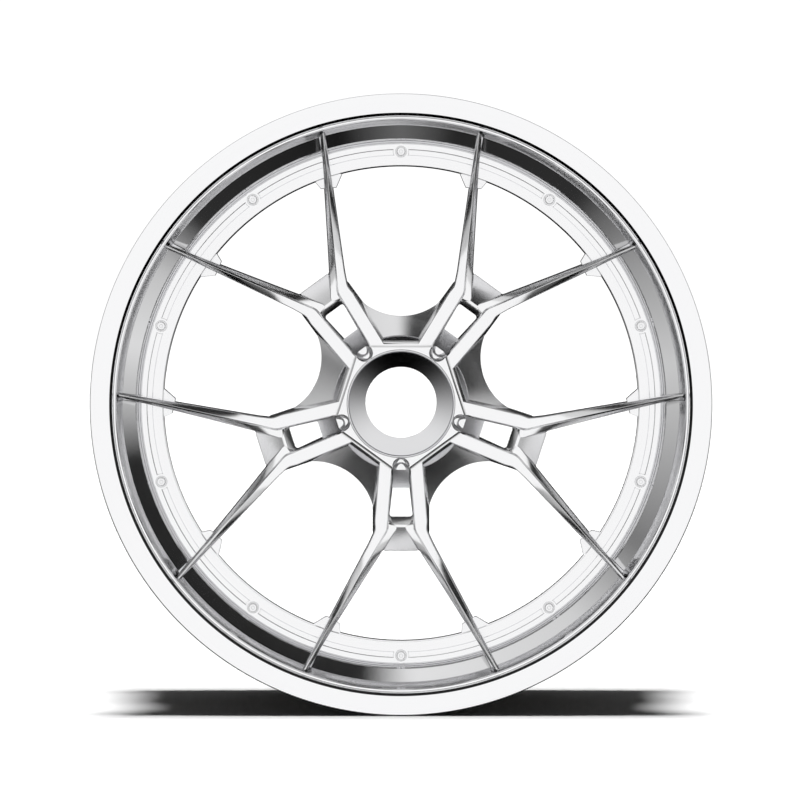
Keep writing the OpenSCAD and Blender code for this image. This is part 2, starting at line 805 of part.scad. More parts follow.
module valve_core_pin() {
    bottom = core_top - core_len;
    color("gold") upright() at_valve() {
        translate([0, 0, bottom - 8.4]) cylinder(d = pin_d, h = core_top - bottom + 8.4);
        translate([0, 0, bottom - 8.4]) cylinder(r = 1.5, h = 0.9);
    }
}

module valve_pin_seal() {
    bottom = core_top - core_len;
    color("black") upright() at_valve() tube(1.6, pin_d / 2, bottom - 0.9, bottom + 1.1);
}

module valve_cap() {
    color("black") upright() at_valve() difference() {
        union() {
            translate([0, 0, cap_bottom]) cylinder(r = cap_r, h = cap_len - 1);
            translate([0, 0, cap_bottom + cap_len - 1]) cylinder(r1 = cap_r, r2 = cap_r - 1, h = 1);
        }
        translate([0, 0, cap_bottom - 1])
            cylinder(d = valve_stem_d + 2 * fit, h = cap_len - cap_wall + 1);
    }
}

module valve_cap_seal() {
    top = cap_bottom + cap_len - cap_wall;
    color("dimgray") upright() at_valve() tube(valve_stem_d / 2 - 0.1, 1.8, top - 0.9, top);
}

outer_lip();
inner_barrel();
centre_hub();
centre_arms();
centre_ring();
rim_seal_ring();
assembly_bolts();
bolt_washers();
nut_washers();
lock_nuts();
centre_nut_seat();
drive_pin_bushes();
bush_retaining_rings();
valve_stem();
valve_inner_seal();
valve_outer_seal();
valve_washer();
valve_nut();
valve_core_body();
valve_core_gasket();
valve_core_spring();
valve_core_pin();
valve_pin_seal();
valve_cap();
valve_cap_seal();
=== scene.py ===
"""Looks of a forged racing wheel rim in three bolted parts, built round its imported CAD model.

Inside the builders a wheel frame is used, in millimetres: x and y lie across the face and z points
out through it, with z = 0 at the hub mounting face. to_row turns it upright, so the face looks to -Y.
"""

import json
import logging
import math
from dataclasses import dataclass, field
from enum import Enum
from typing import Any, Callable, ClassVar, Sequence

import bmesh
import bpy
from mathutils import Matrix, Vector

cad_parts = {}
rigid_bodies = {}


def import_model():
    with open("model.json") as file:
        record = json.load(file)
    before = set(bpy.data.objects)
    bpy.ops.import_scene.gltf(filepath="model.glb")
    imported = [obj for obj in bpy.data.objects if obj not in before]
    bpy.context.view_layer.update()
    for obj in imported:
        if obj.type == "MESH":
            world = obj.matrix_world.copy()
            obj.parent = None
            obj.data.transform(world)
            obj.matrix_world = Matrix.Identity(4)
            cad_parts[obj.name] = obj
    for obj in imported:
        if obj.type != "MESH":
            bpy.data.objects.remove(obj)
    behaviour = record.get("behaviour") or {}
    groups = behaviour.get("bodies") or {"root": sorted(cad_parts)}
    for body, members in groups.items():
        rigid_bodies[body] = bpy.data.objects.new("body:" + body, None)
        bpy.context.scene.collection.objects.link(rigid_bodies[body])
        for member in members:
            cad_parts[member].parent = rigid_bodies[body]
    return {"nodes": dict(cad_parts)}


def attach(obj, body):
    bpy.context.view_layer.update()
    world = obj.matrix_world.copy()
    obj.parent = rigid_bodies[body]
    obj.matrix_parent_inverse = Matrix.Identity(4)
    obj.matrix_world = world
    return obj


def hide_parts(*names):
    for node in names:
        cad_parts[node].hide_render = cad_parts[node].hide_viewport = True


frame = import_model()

LOG = logging.getLogger("wheel")
MM = 0.001
AXLE = Matrix()
STEMS = 5
TURN = 360 / STEMS
Corner = tuple[float, float, float]
Point2 = tuple[float, float]
Faces = list[tuple[int, ...]]
Fade = tuple[Point2, Point2]


# ---------- nodes, colours and meshes ----------


def linear(hex_colour: str) -> tuple[float, float, float, float]:
    """Turns an sRGB hex colour into linear light.

    Args:
        hex_colour: the colour as RRGGBB.

    Returns:
        Red, green, blue and an alpha of 1.
    """
    parts = [int(hex_colour[i:i + 2], 16) / 255 for i in (0, 2, 4)]
    out = [c / 12.92 if c <= 0.04045 else ((c + 0.055) / 1.055) ** 2.4 for c in parts]
    return (out[0], out[1], out[2], 1.0)


def add(tree: Any, kind: str, settings: dict[str, Any], sockets: dict[Any, Any]) -> Any:
    """Adds a node to a tree.

    Args:
        tree: the node tree.
        kind: the node's type name.
        settings: the node's own properties by name.
        sockets: values, or sockets to link from, by input name or index.

    Returns:
        The new node.
    """
    node = tree.nodes.new(kind)
    for name, value in settings.items():
        setattr(node, name, value)
    for key, value in sockets.items():
        if isinstance(value, bpy.types.NodeSocket):
            tree.links.new(value, node.inputs[key])
        else:
            node.inputs[key].default_value = value
    return node


def to_row(points: Sequence[Sequence[float]]) -> list[Vector]:
    """Turns wheel-frame millimetres into row-frame metres.

    Args:
        points: points in the wheel frame.

    Returns:
        The same points with the wheel standing upright.
    """
    return [Vector((x, -z, y)) * MM for x, y, z in points]


def stand(name: str, data: Any) -> bpy.types.Object:
    """Makes an object of a mesh, a light or a camera and links it to the scene.

    Args:
        name: name of the object.
        data: what it holds.

    Returns:
        The new object.
    """
    piece = bpy.data.objects.new(name, data)
    bpy.context.scene.collection.objects.link(piece)
    return piece


def loft(name: str, rows: Sequence[Sequence[Vector]], closed: bool = False) -> bpy.types.Object:
    """Skins rows of points and caps both ends, or joins the last row to the first.

    Args:
        name: name of the piece.
        rows: outlines with one number of points, in the wheel frame and in millimetres.
        closed: whether the last row meets the first.

    Returns:
        The new object, with its faces pointing outwards.
    """
    n, count = len(rows[0]), len(rows)
    faces: Faces = [] if closed else [tuple(range(n)), tuple(range((count - 1) * n, count * n))]
    for k in range(count if closed else count - 1):
        here, there = k * n, (k + 1) % count * n
        faces += [(here + j, here + (j + 1) % n, there + (j + 1) % n, there + j) for j in range(n)]
    mesh = bpy.data.meshes.new(name)
    mesh.from_pydata(to_row([point for row in rows for point in row]), [], faces)
    tidy(mesh)
    return stand(name, mesh)


def tidy(mesh: bpy.types.Mesh, gap: float = 2e-6) -> None:
    """Merges doubles and turns every face outwards.

    Args:
        mesh: the mesh to change.
        gap: points closer than this become one.
    """
    work = bmesh.new()
    work.from_mesh(mesh)
    bmesh.ops.remove_doubles(work, verts=work.verts, dist=gap)
    bmesh.ops.dissolve_degenerate(work, edges=work.edges, dist=gap)
    bmesh.ops.recalc_face_normals(work, faces=work.faces)
    work.to_mesh(mesh)
    work.free()


def soften(piece: bpy.types.Object, angle: float = 26.0) -> None:
    """Shades a piece smooth and keeps its edges past an angle crisp.

    Args:
        piece: the piece.
        angle: edges that turn more than this stay crisp, in degrees.
    """
    piece.data.shade_smooth()
    piece.data.set_sharp_from_angle(angle=math.radians(angle))


def bake(piece: bpy.types.Object) -> bpy.types.Object:
    """Turns a piece's modifiers into plain mesh and removes them.

    Args:
        piece: the piece with modifiers.

    Returns:
        The same object with its final mesh.
    """
    graph = bpy.context.evaluated_depsgraph_get()
    result = bpy.data.meshes.new_from_object(piece.evaluated_get(graph))
    piece.modifiers.clear()
    old = piece.data
    piece.data = result
    result.name = piece.name
    bpy.data.meshes.remove(old)
    return piece


def combine(piece: bpy.types.Object, others: Sequence[bpy.types.Object], operation: str) -> None:
    """Joins other solids to a piece or cuts them out of it, and removes them.

    Args:
        piece: the piece to change.
        others: closed solids.
        operation: UNION or DIFFERENCE.
    """
    for other in others:
        step = piece.modifiers.new("solid", "BOOLEAN")
        step.solver = "MANIFOLD"
        step.operation = operation
        step.object = other
    bake(piece)
    for other in others:
        bpy.data.objects.remove(other)
    tidy(piece.data)


def rounded(a: Point2, p: Point2, b: Point2, radius: float, steps: int) -> list[Point2]:
    """Rounds the corner p between a and b, never past its neighbours' middles.

    Args:
        a: the corner before.
        p: the corner to round.
        b: the corner after.
        radius: the wanted radius.
        steps: pieces in the arc.

    Returns:
        steps + 1 points along the arc, or p alone where there is no radius.
    """
    pa, pb = Vector(a) - Vector(p), Vector(b) - Vector(p)
    if radius <= 0 or pa.length < 1e-6 or pb.length < 1e-6:
        return [p]
    da, db = pa.normalized(), pb.normalized()
    half = math.acos(max(-1.0, min(1.0, da.dot(db)))) / 2
    reach = min(radius / math.tan(half), 0.47 * pa.length, 0.47 * pb.length)
    radius = reach * math.tan(half)
    centre = Vector(p) + (da + db).normalized() * radius / math.sin(half)
    start, end = Vector(p) + da * reach - centre, Vector(p) + db * reach - centre
    first = math.atan2(start.y, start.x)
    turn = math.atan2(start.x * end.y - start.y * end.x, start.dot(end))
    return [
        (centre.x + radius * math.cos(first + turn * i / steps),
         centre.y + radius * math.sin(first + turn * i / steps))
        for i in range(steps + 1)
    ]


def outline(corners: Sequence[Corner], steps: int = 6) -> list[Point2]:
    """Draws a closed outline with rounded corners.

    Args:
        corners: x, y and radius of each corner.
        steps: pieces in each arc.

    Returns:
        The outline's points in order.
    """
    n = len(corners)
    points: list[Point2] = []
    for i, (x, y, radius) in enumerate(corners):
        a, b = corners[i - 1][:2], corners[(i + 1) % n][:2]
        points += rounded(a, (x, y), b, radius, steps)
    return points


def turned(name: str, profile: Sequence[Point2], segments: int,
           place: Matrix = AXLE) -> bpy.types.Object:
    """Turns a closed outline about its own z axis and puts it in place.

    Args:
        name: name of the piece.
        profile: radius and height of each point, in millimetres.
        segments: flats around the axis.
        place: where the axis stands in the wheel frame.

    Returns:
        The new object.
    """
    angles = [2 * math.pi * i / segments for i in range(segments)]
    return loft(name, [
        [place @ Vector((r * math.cos(a), r * math.sin(a), z)) for r, z in profile] for a in angles
    ], closed=True)


def prism(name: str, base: Sequence[Point2], low: float, high: float, place: Matrix = AXLE,
          chamfer: float = 0.0) -> bpy.types.Object:
    """Raises an outline into a solid, with an optional chamfer round its top.

    Args:
        name: name of the piece.
        base: the outline, in millimetres.
        low: height of the foot.
        high: height of the top.
        place: where the solid stands in the wheel frame.
        chamfer: size of the chamfer.

    Returns:
        The new object.
    """
    far = max(math.hypot(x, y) for x, y in base)
    levels = [(low, 1.0), (high - chamfer, 1.0)] + ([(high, 1 - chamfer / far)] if chamfer else [])
    return loft(name, [[place @ Vector((x * s, y * s, z)) for x, y in base] for z, s in levels])


def merge_pieces(name: str, pieces: Sequence[bpy.types.Object]) -> bpy.types.Object:
    """Puts several closed shells in one object.

    Args:
        name: name of the piece they become.
        pieces: the shells.

    Returns:
        The object that holds them all.
    """
    work = bmesh.new()
    for piece in pieces:
        work.from_mesh(piece.data)
    mesh = bpy.data.meshes.new(name)
    work.to_mesh(mesh)
    work.free()
    for piece in pieces:
        bpy.data.objects.remove(piece)
    return stand(name, mesh)


# ---------- geometry node trees ----------


def new_tree(name: str, inputs: dict[str, str]) -> tuple[Any, Any, dict[str, str]]:
    """Starts a geometry node tree.

    Args:
        name: name of the tree.
        inputs: socket type of each named input after the geometry.

    Returns:
        The tree, its input node and each input's identifier by name.
    """
    tree = bpy.data.node_groups.new(name, "GeometryNodeTree")
    tree.interface.new_socket(name="Geometry", in_out="INPUT", socket_type="NodeSocketGeometry")
    tree.interface.new_socket(name="Geometry", in_out="OUTPUT", socket_type="NodeSocketGeometry")
    ids = {
        key: tree.interface.new_socket(name=key, in_out="INPUT", socket_type=kind).identifier
        for key, kind in inputs.items()
    }
    return tree, add(tree, "NodeGroupInput", {}, {}), ids


def close_tree(tree: Any, geometry: Any, material: Any) -> None:
    """Ends a tree in Realize Instances and Set Material.

    Args:
        tree: the tree.
        geometry: the socket that holds the shape.
        material: the socket that holds the finish.
    """
    real = add(tree, "GeometryNodeRealizeInstances", {}, {"Geometry": geometry})
    coat = add(tree, "GeometryNodeSetMaterial", {}, {"Geometry": real.outputs[0], "Material": material})
    add(tree, "NodeGroupOutput", {}, {"Geometry": coat.outputs[0]})


def maths(tree: Any, operation: str, *values: Any) -> Any:
    """Adds a maths node and returns its result socket.

    Args:
        tree: the tree.
        operation: the node's operation.
        values: numbers or sockets.

    Returns:
        The result socket.
    """
    node = add(tree, "ShaderNodeMath", {"operation": operation}, dict(enumerate(values)))
    return node.outputs[0]


class Repeater:
    """Sets copies of a small piece evenly round the axle with one geometry node tree."""

    def __init__(self) -> None:
        """Builds the tree once for all the pieces that use it."""
        inputs = {
            "Count": "NodeSocketInt", "Radius": "NodeSocketFloat", "First angle": "NodeSocketFloat",
            "Finish": "NodeSocketMaterial",
        }
        self.tree, source, self.ids = new_tree("ring of copies", inputs)
        tree = self.tree
        index = add(tree, "GeometryNodeInputIndex", {}, {}).outputs[0]
        step = maths(tree, "DIVIDE", 2 * math.pi, source.outputs["Count"])
        angle = maths(tree, "MULTIPLY_ADD", index, step, source.outputs["First angle"])
        x = maths(tree, "MULTIPLY", maths(tree, "COSINE", angle), source.outputs["Radius"])
        z = maths(tree, "MULTIPLY", maths(tree, "SINE", angle), source.outputs["Radius"])
        place = add(tree, "ShaderNodeCombineXYZ", {}, {"X": x, "Z": z})
        points = add(tree, "GeometryNodePoints", {}, {
            "Count": source.outputs["Count"], "Position": place.outputs[0],
        })
        back = maths(tree, "MULTIPLY", angle, -1.0)
        euler = add(tree, "ShaderNodeCombineXYZ", {}, {"Y": back})
        turn = add(tree, "FunctionNodeEulerToRotation", {}, {0: euler.outputs[0]})
        copies = add(tree, "GeometryNodeInstanceOnPoints", {}, {
            "Points": points.outputs[0], "Instance": source.outputs["Geometry"], "Rotation": turn.outputs[0],
        })
        close_tree(tree, copies.outputs[0], source.outputs["Finish"])

    def spread(self, piece: bpy.types.Object, count: int, radius: float, first: float,
               finish: bpy.types.Material) -> bpy.types.Object:
        """Repeats a piece round the axle.

        Args:
            piece: one copy, built on the axle.
            count: number of copies.
            radius: pitch radius in millimetres.
            first: angle of the first copy in degrees, counter-clockwise from the right.
            finish: material of the copies.

        Returns:
            The same object as one plain mesh of all its copies.
        """
        step = piece.modifiers.new("copies", "NODES")
        step.node_group = self.tree
        step[self.ids["Count"]] = count
        step[self.ids["Radius"]] = radius * MM
        step[self.ids["First angle"]] = math.radians(first)
        step[self.ids["Finish"]] = finish
        return bake(piece)


class Lathe:
    """Turns a closed outline into a rim part with one geometry node tree."""

    def __init__(self) -> None:
        """Builds the tree once for all the parts that use it."""
        inputs = {"Points": "NodeSocketInt", "Flats": "NodeSocketInt", "Finish": "NodeSocketMaterial"}
        self.tree, source, self.ids = new_tree("spun section", inputs)
        tree = self.tree
        count, flats = source.outputs["Points"], source.outputs["Flats"]
        rows, columns = maths(tree, "ADD", count, 1.0), maths(tree, "ADD", flats, 1.0)
        grid = add(tree, "GeometryNodeMeshGrid", {}, {
            "Size X": 1.0, "Size Y": 1.0, "Vertices X": columns, "Vertices Y": rows,
        })
        index = add(tree, "GeometryNodeInputIndex", {}, {}).outputs[0]
        column = maths(tree, "FLOOR", maths(tree, "DIVIDE", maths(tree, "ADD", index, 0.5), rows))
        row = maths(tree, "SUBTRACT", index, maths(tree, "MULTIPLY", column, rows))
        wrapped = maths(tree, "FLOORED_MODULO", row, count)
        where = add(tree, "GeometryNodeInputPosition", {}, {}).outputs[0]
        sample = add(tree, "GeometryNodeSampleIndex", {"data_type": "FLOAT_VECTOR", "domain": "POINT"}, {
            "Geometry": source.outputs["Geometry"], "Value": where, "Index": wrapped,
        })
        part = add(tree, "ShaderNodeSeparateXYZ", {}, {0: sample.outputs[0]})
        turn = maths(tree, "DIVIDE", maths(tree, "MULTIPLY", column, 2 * math.pi), flats)
        x = maths(tree, "MULTIPLY", maths(tree, "COSINE", turn), part.outputs["X"])
        z = maths(tree, "MULTIPLY", maths(tree, "SINE", turn), part.outputs["X"])
        place = add(tree, "ShaderNodeCombineXYZ", {}, {"X": x, "Y": part.outputs["Y"], "Z": z})
        moved = add(tree, "GeometryNodeSetPosition", {}, {
            "Geometry": grid.outputs[0], "Position": place.outputs[0],
        })
        closed = add(tree, "GeometryNodeMergeByDistance", {}, {
            "Geometry": moved.outputs[0], "Distance": 2e-6,
        })
        close_tree(tree, closed.outputs[0], source.outputs["Finish"])

    def spin(self, name: str, profile: Sequence[Point2], flats: int,
             finish: bpy.types.Material | None) -> bpy.types.Object:
        """Spins an outline round the axle.

        Args:
            name: name of the part.
            profile: radius and wheel-frame height of each point, in millimetres.
            flats: steps round the axle.
            finish: material of the part.

        Returns:
            The part as a plain closed mesh.
        """
        mesh = bpy.data.meshes.new(name)
        mesh.from_pydata([(r * MM, -z * MM, 0) for r, z in profile], [], [])
        part = stand(name, mesh)
        step = part.modifiers.new("spin", "NODES")
        step.node_group = self.tree
        step[self.ids["Points"]] = len(profile)
        step[self.ids["Flats"]] = flats
        step[self.ids["Finish"]] = finish
        bake(part)
        tidy(part.data)
        return part


# ---------- finishes ----------


class Marks(Enum):
    """What the last tool left on a surface."""

    TURNED = "rings round the axle"
    BUFFED = "faint clouding left by a buffing wheel"
    BLASTED = "fine even grain"
    MOULDED = "soft unevenness of a mould"


@dataclass(frozen=True)
class Finish:
    """A real surface, by its material and the process that made it.

    Args:
        name: the material and process.
        colour: sRGB hex colour.
        metallic: 1 for metal, 0 for the rest.
        roughness: middle roughness.
        spread: how far the roughness wanders either way.
        marks: what the last tool left.
        pitch: spacing of those marks in millimetres.
        depth: strength of the marks in the surface, 0 to 1.
        coat: weight of a clear coat over it.
    """

    # How much of the wander in roughness is broad clouding; the rest follows the marks
    CLOUD_SHARE: ClassVar[float] = 0.6

    name: str
    colour: str
    metallic: float
    roughness: float
    spread: float
    marks: Marks
    pitch: float
    depth: float
    coat: float = 0.0

    def make(self) -> bpy.types.Material:
        """Builds the material and returns it."""
        material = bpy.data.materials.new(self.name)
        material.use_nodes = True
        tree = material.node_tree
        shader = tree.nodes["Principled BSDF"]
        shader.inputs["Base Color"].default_value = linear(self.colour)
        shader.inputs["Metallic"].default_value = self.metallic
        shader.inputs["Coat Weight"].default_value = self.coat
        shader.inputs["Coat Roughness"].default_value = 0.04
        where = add(tree, "ShaderNodeTexCoord", {}, {}).outputs["Object"]
        height = self.pattern(tree, where)
        cloud = add(tree, "ShaderNodeTexNoise", {}, {"Vector": where, "Scale": 18.0, "Detail": 3.0})
        clouding, marking = self.CLOUD_SHARE, 1 - self.CLOUD_SHARE
        mixed = maths(tree, "ADD", maths(tree, "MULTIPLY", cloud.outputs[0], clouding),
                      maths(tree, "MULTIPLY", height, marking))
        rough = add(tree, "ShaderNodeMapRange", {}, {
            "Value": mixed, "From Min": 0.3, "From Max": 0.7,
            "To Min": max(0.01, self.roughness - self.spread), "To Max": self.roughness + self.spread,
        })
        tree.links.new(rough.outputs[0], shader.inputs["Roughness"])
        bump = add(tree, "ShaderNodeBump", {}, {
            "Height": height, "Strength": self.depth, "Distance": 0.02 * self.pitch * MM,
        })
        tree.links.new(bump.outputs[0], shader.inputs["Normal"])
        return material

    def pattern(self, tree: Any, where: Any) -> Any:
        """Draws the tool marks.

        Args:
            tree: the material's tree.
            where: the socket of the surface's own coordinates.

        Returns:
            The socket of the marks' height, 0 to 1.
        """
        rate = 1000 / self.pitch
        if self.marks is Marks.TURNED:
            part = add(tree, "ShaderNodeSeparateXYZ", {}, {0: where})
            across = add(tree, "ShaderNodeCombineXYZ", {}, {"X": part.outputs["X"], "Z": part.outputs["Z"]})
            radius = add(tree, "ShaderNodeVectorMath", {"operation": "LENGTH"}, {
                0: across.outputs[0],
            }).outputs["Value"]
            along = maths(tree, "MULTIPLY", maths(tree, "ADD", radius, part.outputs["Y"]), rate)
            grooves = add(tree, "ShaderNodeTexNoise", {"noise_dimensions": "1D"}, {
                "W": along, "Scale": 1.0, "Detail": 2.0,
            })
            return grooves.outputs[0]
        detail = {Marks.BUFFED: 4.0, Marks.BLASTED: 1.0, Marks.MOULDED: 2.0}[self.marks]
        grain = add(tree, "ShaderNodeTexNoise", {}, {"Vector": where, "Scale": rate, "Detail": detail})
        return grain.outputs[0]


@dataclass
class Finishes:
    """Every finish of the wheel, made once."""

    # Polished forged aluminium: near mirror, with reflections only just softened by the mop
    lip: Finish = Finish("polished forged aluminium lip",
                         "F2F2F3", 1, 0.085, 0.02, Marks.BUFFED, 30, 0.10)
    # The spokes are polished by hand too, a little less sharply in their corners
    centre: Finish = Finish("polished forged aluminium spokes",
                            "F1F1F2", 1, 0.16, 0.03, Marks.BUFFED, 24, 0.12)
    # Spun barrel, brushed on the lathe and clear coated: fine rings that stretch the highlights
    barrel: Finish = Finish("brushed and lacquered spun aluminium",
                            "DCDCDE", 1, 0.27, 0.05, Marks.TURNED, 1.2, 0.5, 0.35)
    # Hard anodised seat: silvery grey, satin, with the fine feed lines of its taper
    seat: Finish = Finish("anodised turned aluminium seat",
                          "D4D4D6", 1, 0.17, 0.03, Marks.TURNED, 0.8, 0.3)
    # Bright stainless bolts: clean steel with a slight grain
    steel: Finish = Finish("bright stainless steel", "EDEDEE", 1, 0.12, 0.03, Marks.BLASTED, 0.6, 0.2)
    # Ground hardened steel: darker and even
    hard_steel: Finish = Finish("ground hardened steel", "8C8B8A", 1, 0.26, 0.05, Marks.TURNED, 0.7, 0.3)
    # Moulded rubber: dull black with a soft sheen
    rubber: Finish = Finish("moulded black rubber", "17171A", 0, 0.62, 0.08, Marks.MOULDED, 1.5, 0.4)
    # Nickel plated turned brass: warm silver
    nickel: Finish = Finish("nickel plated turned brass",
                            "C9C5BC", 1, 0.2, 0.04, Marks.TURNED, 0.6, 0.25)
    # Turned brass: yellow, satin
    brass: Finish = Finish("turned brass", "C79A4B", 1, 0.27, 0.05, Marks.TURNED, 0.6, 0.3)
    # Moulded PTFE gasket: dull red
    gasket: Finish = Finish("moulded red gasket", "8F2A22", 0, 0.5, 0.05, Marks.MOULDED, 1.0, 0.2)
    # Moulded ABS cap: black with a faint grain
    plastic: Finish = Finish("moulded black ABS", "1B1B1D", 0, 0.42, 0.06, Marks.MOULDED, 0.8, 0.3)
    made: dict[str, bpy.types.Material] = field(default_factory=dict)

    def get(self, name: str) -> bpy.types.Material:
        """Makes a finish on first use.

        Args:
            name: name of the field that holds it.

        Returns:
            The material.
        """
        if name not in self.made:
            self.made[name] = getattr(self, name).make()
        return self.made[name]


@dataclass
class Shop:
    """What every builder shares: finishes and node trees."""

    finishes: Finishes
    repeater: Repeater
    lathe: Lathe

    def finish_piece(self, piece: bpy.types.Object, finish: str, slot: str, node: str, body: str = "rim",
                     angle: float = 26.0) -> bpy.types.Object:
        """Gives a piece its finish and body, and hides the CAD node that it stands for.

        Args:
            piece: the piece.
            finish: name of its finish.
            slot: the record's material slot; not used.
            node: the CAD node it replaces.
            body: the body it rides on.
            angle: edges that turn more than this stay crisp, in degrees.

        Returns:
            The same piece.
        """
        piece.data.materials.clear()
        piece.data.materials.append(self.finishes.get(finish))
        soften(piece, angle)
        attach(piece, body)
        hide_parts(node)
        LOG.info("%s: %d faces, %s", piece.name, len(piece.data.polygons), finish)
        return piece


# ---------- rim halves ----------


@dataclass
class RimHalves:
    """The lip and the barrel that hold the tyre."""

    shop: Shop
    seat_r: float = 254.0
    rim_r: float = 271.5
    front_bead: float = 100.65
    rear_bead: float = -140.65
    front_z: float = 113.15
    rear_z: float = -153.15
    joint_z: float = 60.0
    flange_t: float = 8.0
    well_r: float = 236.0
    barrel_r: float = 249.0
    wall: float = 4.6
    inner_r: float = 209.8
    recess_r: float = 231.8
    face_r: float = 254.3
    rear_face_r: float = 255.3
    edge: float = 4.5
    seat_w: float = 20.0
    seat_drop: float = 1.7
    hump_mid: float = 22.5
    hump_drop: float = 0.8
    hump_w: float = 27.0
    groove: Point2 = (231.1, 234.1)
    groove_d: float = 2.2
    bolt_r: float = 221.7
    bolt_count: int = 10
    hole_d: float = 6.3
    flats: int = 360

    def lip_profile(self) -> list[Point2]:
        """Draws the lip's section, from the joint round the front face to the well."""
        face, rim = self.face_r, self.rim_r
        front, bead = self.front_z, self.front_bead
        flange = self.joint_z - self.flange_t
        return outline([
            (self.inner_r, self.joint_z, 0.3), (self.recess_r, self.joint_z, 0.3),
            (self.recess_r, 71.75, 1.0), (233.4, 73.35, 1.2), (244.8, 80.15, 1.0),
            (248.6, 104.55, 0.5), (249.4, 105.75, 0.4), (250.9, 106.35, 0.4),
            (251.9, front - 4, 0.6), (face, front - 1.7, 0.8), (face + 4.4, front - 0.55, 6),
            (face + 7.0, front - 1.0, 3), (face + 9.7, front, 5), (rim - 7.5, front, 12),
            (rim - 0.7, front - 2.2, 0.9), (rim, front - 3.4, 0.9), (rim, bead + self.edge, 2),
            (rim - self.edge, bead, 6), (self.seat_r, bead, 6),
            (self.seat_r - self.seat_drop, bead - self.seat_w, 1),
            (self.seat_r - self.hump_drop, bead - self.hump_mid, 2),
            (self.seat_r - 2.9, bead - self.hump_w, 3), (self.well_r + 3.2, flange + 11, 4),
            (self.well_r, flange + 5, 3), (self.well_r, flange, 0.4), (self.inner_r, flange, 0.8),
        ])

    def barrel_profile(self) -> list[Point2]:
        """Draws the barrel's section, from the joint round the rear flange."""
        top, foot = self.joint_z - self.flange_t, self.joint_z - 2 * self.flange_t
        inside, rim = self.barrel_r - self.wall, self.rim_r
        rear, bead = self.rear_z, self.rear_bead
        near, far = self.groove
        return outline([
            (self.inner_r, foot, 0.8), (self.inner_r, top, 0.3), (near, top, 0),
            (near, top - self.groove_d, 0), (far, top - self.groove_d, 0), (far, top, 0),
            (self.well_r, top, 0.3), (self.well_r, 10, 14), (self.barrel_r, -20, 14),
            (self.barrel_r, bead + self.hump_w, 4),
            (self.seat_r - self.hump_drop, bead + self.hump_mid, 2),
            (self.seat_r - self.seat_drop, bead + self.seat_w, 1), (self.seat_r, bead, 6),
            (rim - self.edge, bead, 6), (rim, bead - self.edge, 2), (rim, rear + 3.4, 2.6),
            (rim - 3.6, rear, 3), (self.rear_face_r, rear, 4), (248.7, rear + 4, 4),
            (self.seat_r - 7.5, bead + 20, 20), (inside, bead + 32, 20), (inside, -21, 14),
            (self.well_r - self.wall, 9, 14), (self.well_r - self.wall, foot, 3),
        ])

    def bolt_holes(self, low: float, high: float) -> bpy.types.Object:
        """Makes the cutters for the bolt holes of a flange.

        Args:
            low: where the holes start.
            high: where they end.

        Returns:
            One object that holds every cutter.
        """
        profile = [(self.hole_d / 2, low), (self.hole_d / 2, high), (0.01, high), (0.01, low)]
        one = turned("holes", profile, 32)
        steel = self.shop.finishes.get("steel")
        return self.shop.repeater.spread(one, self.bolt_count, self.bolt_r, 90, steel)

    def build(self) -> None:
        """Builds, drills and dresses both halves."""
        spin = self.shop.lathe.spin
        lip = spin("lip_spinning", self.lip_profile(), self.flats, self.shop.finishes.get("lip"))
        barrel = spin("barrel_spinning", self.barrel_profile(), self.flats, self.shop.finishes.get("barrel"))
        top = self.joint_z - self.flange_t
        combine(lip, [self.bolt_holes(top - 1, self.joint_z + 1)], "DIFFERENCE")
        combine(barrel, [self.bolt_holes(top - self.flange_t - 1, top + 1)], "DIFFERENCE")
        self.shop.finish_piece(lip, "lip", "lip_polish", "outer_lip")
        self.shop.finish_piece(barrel, "barrel", "barrel_bright", "inner_barrel")


# ---------- wheel centre ----------


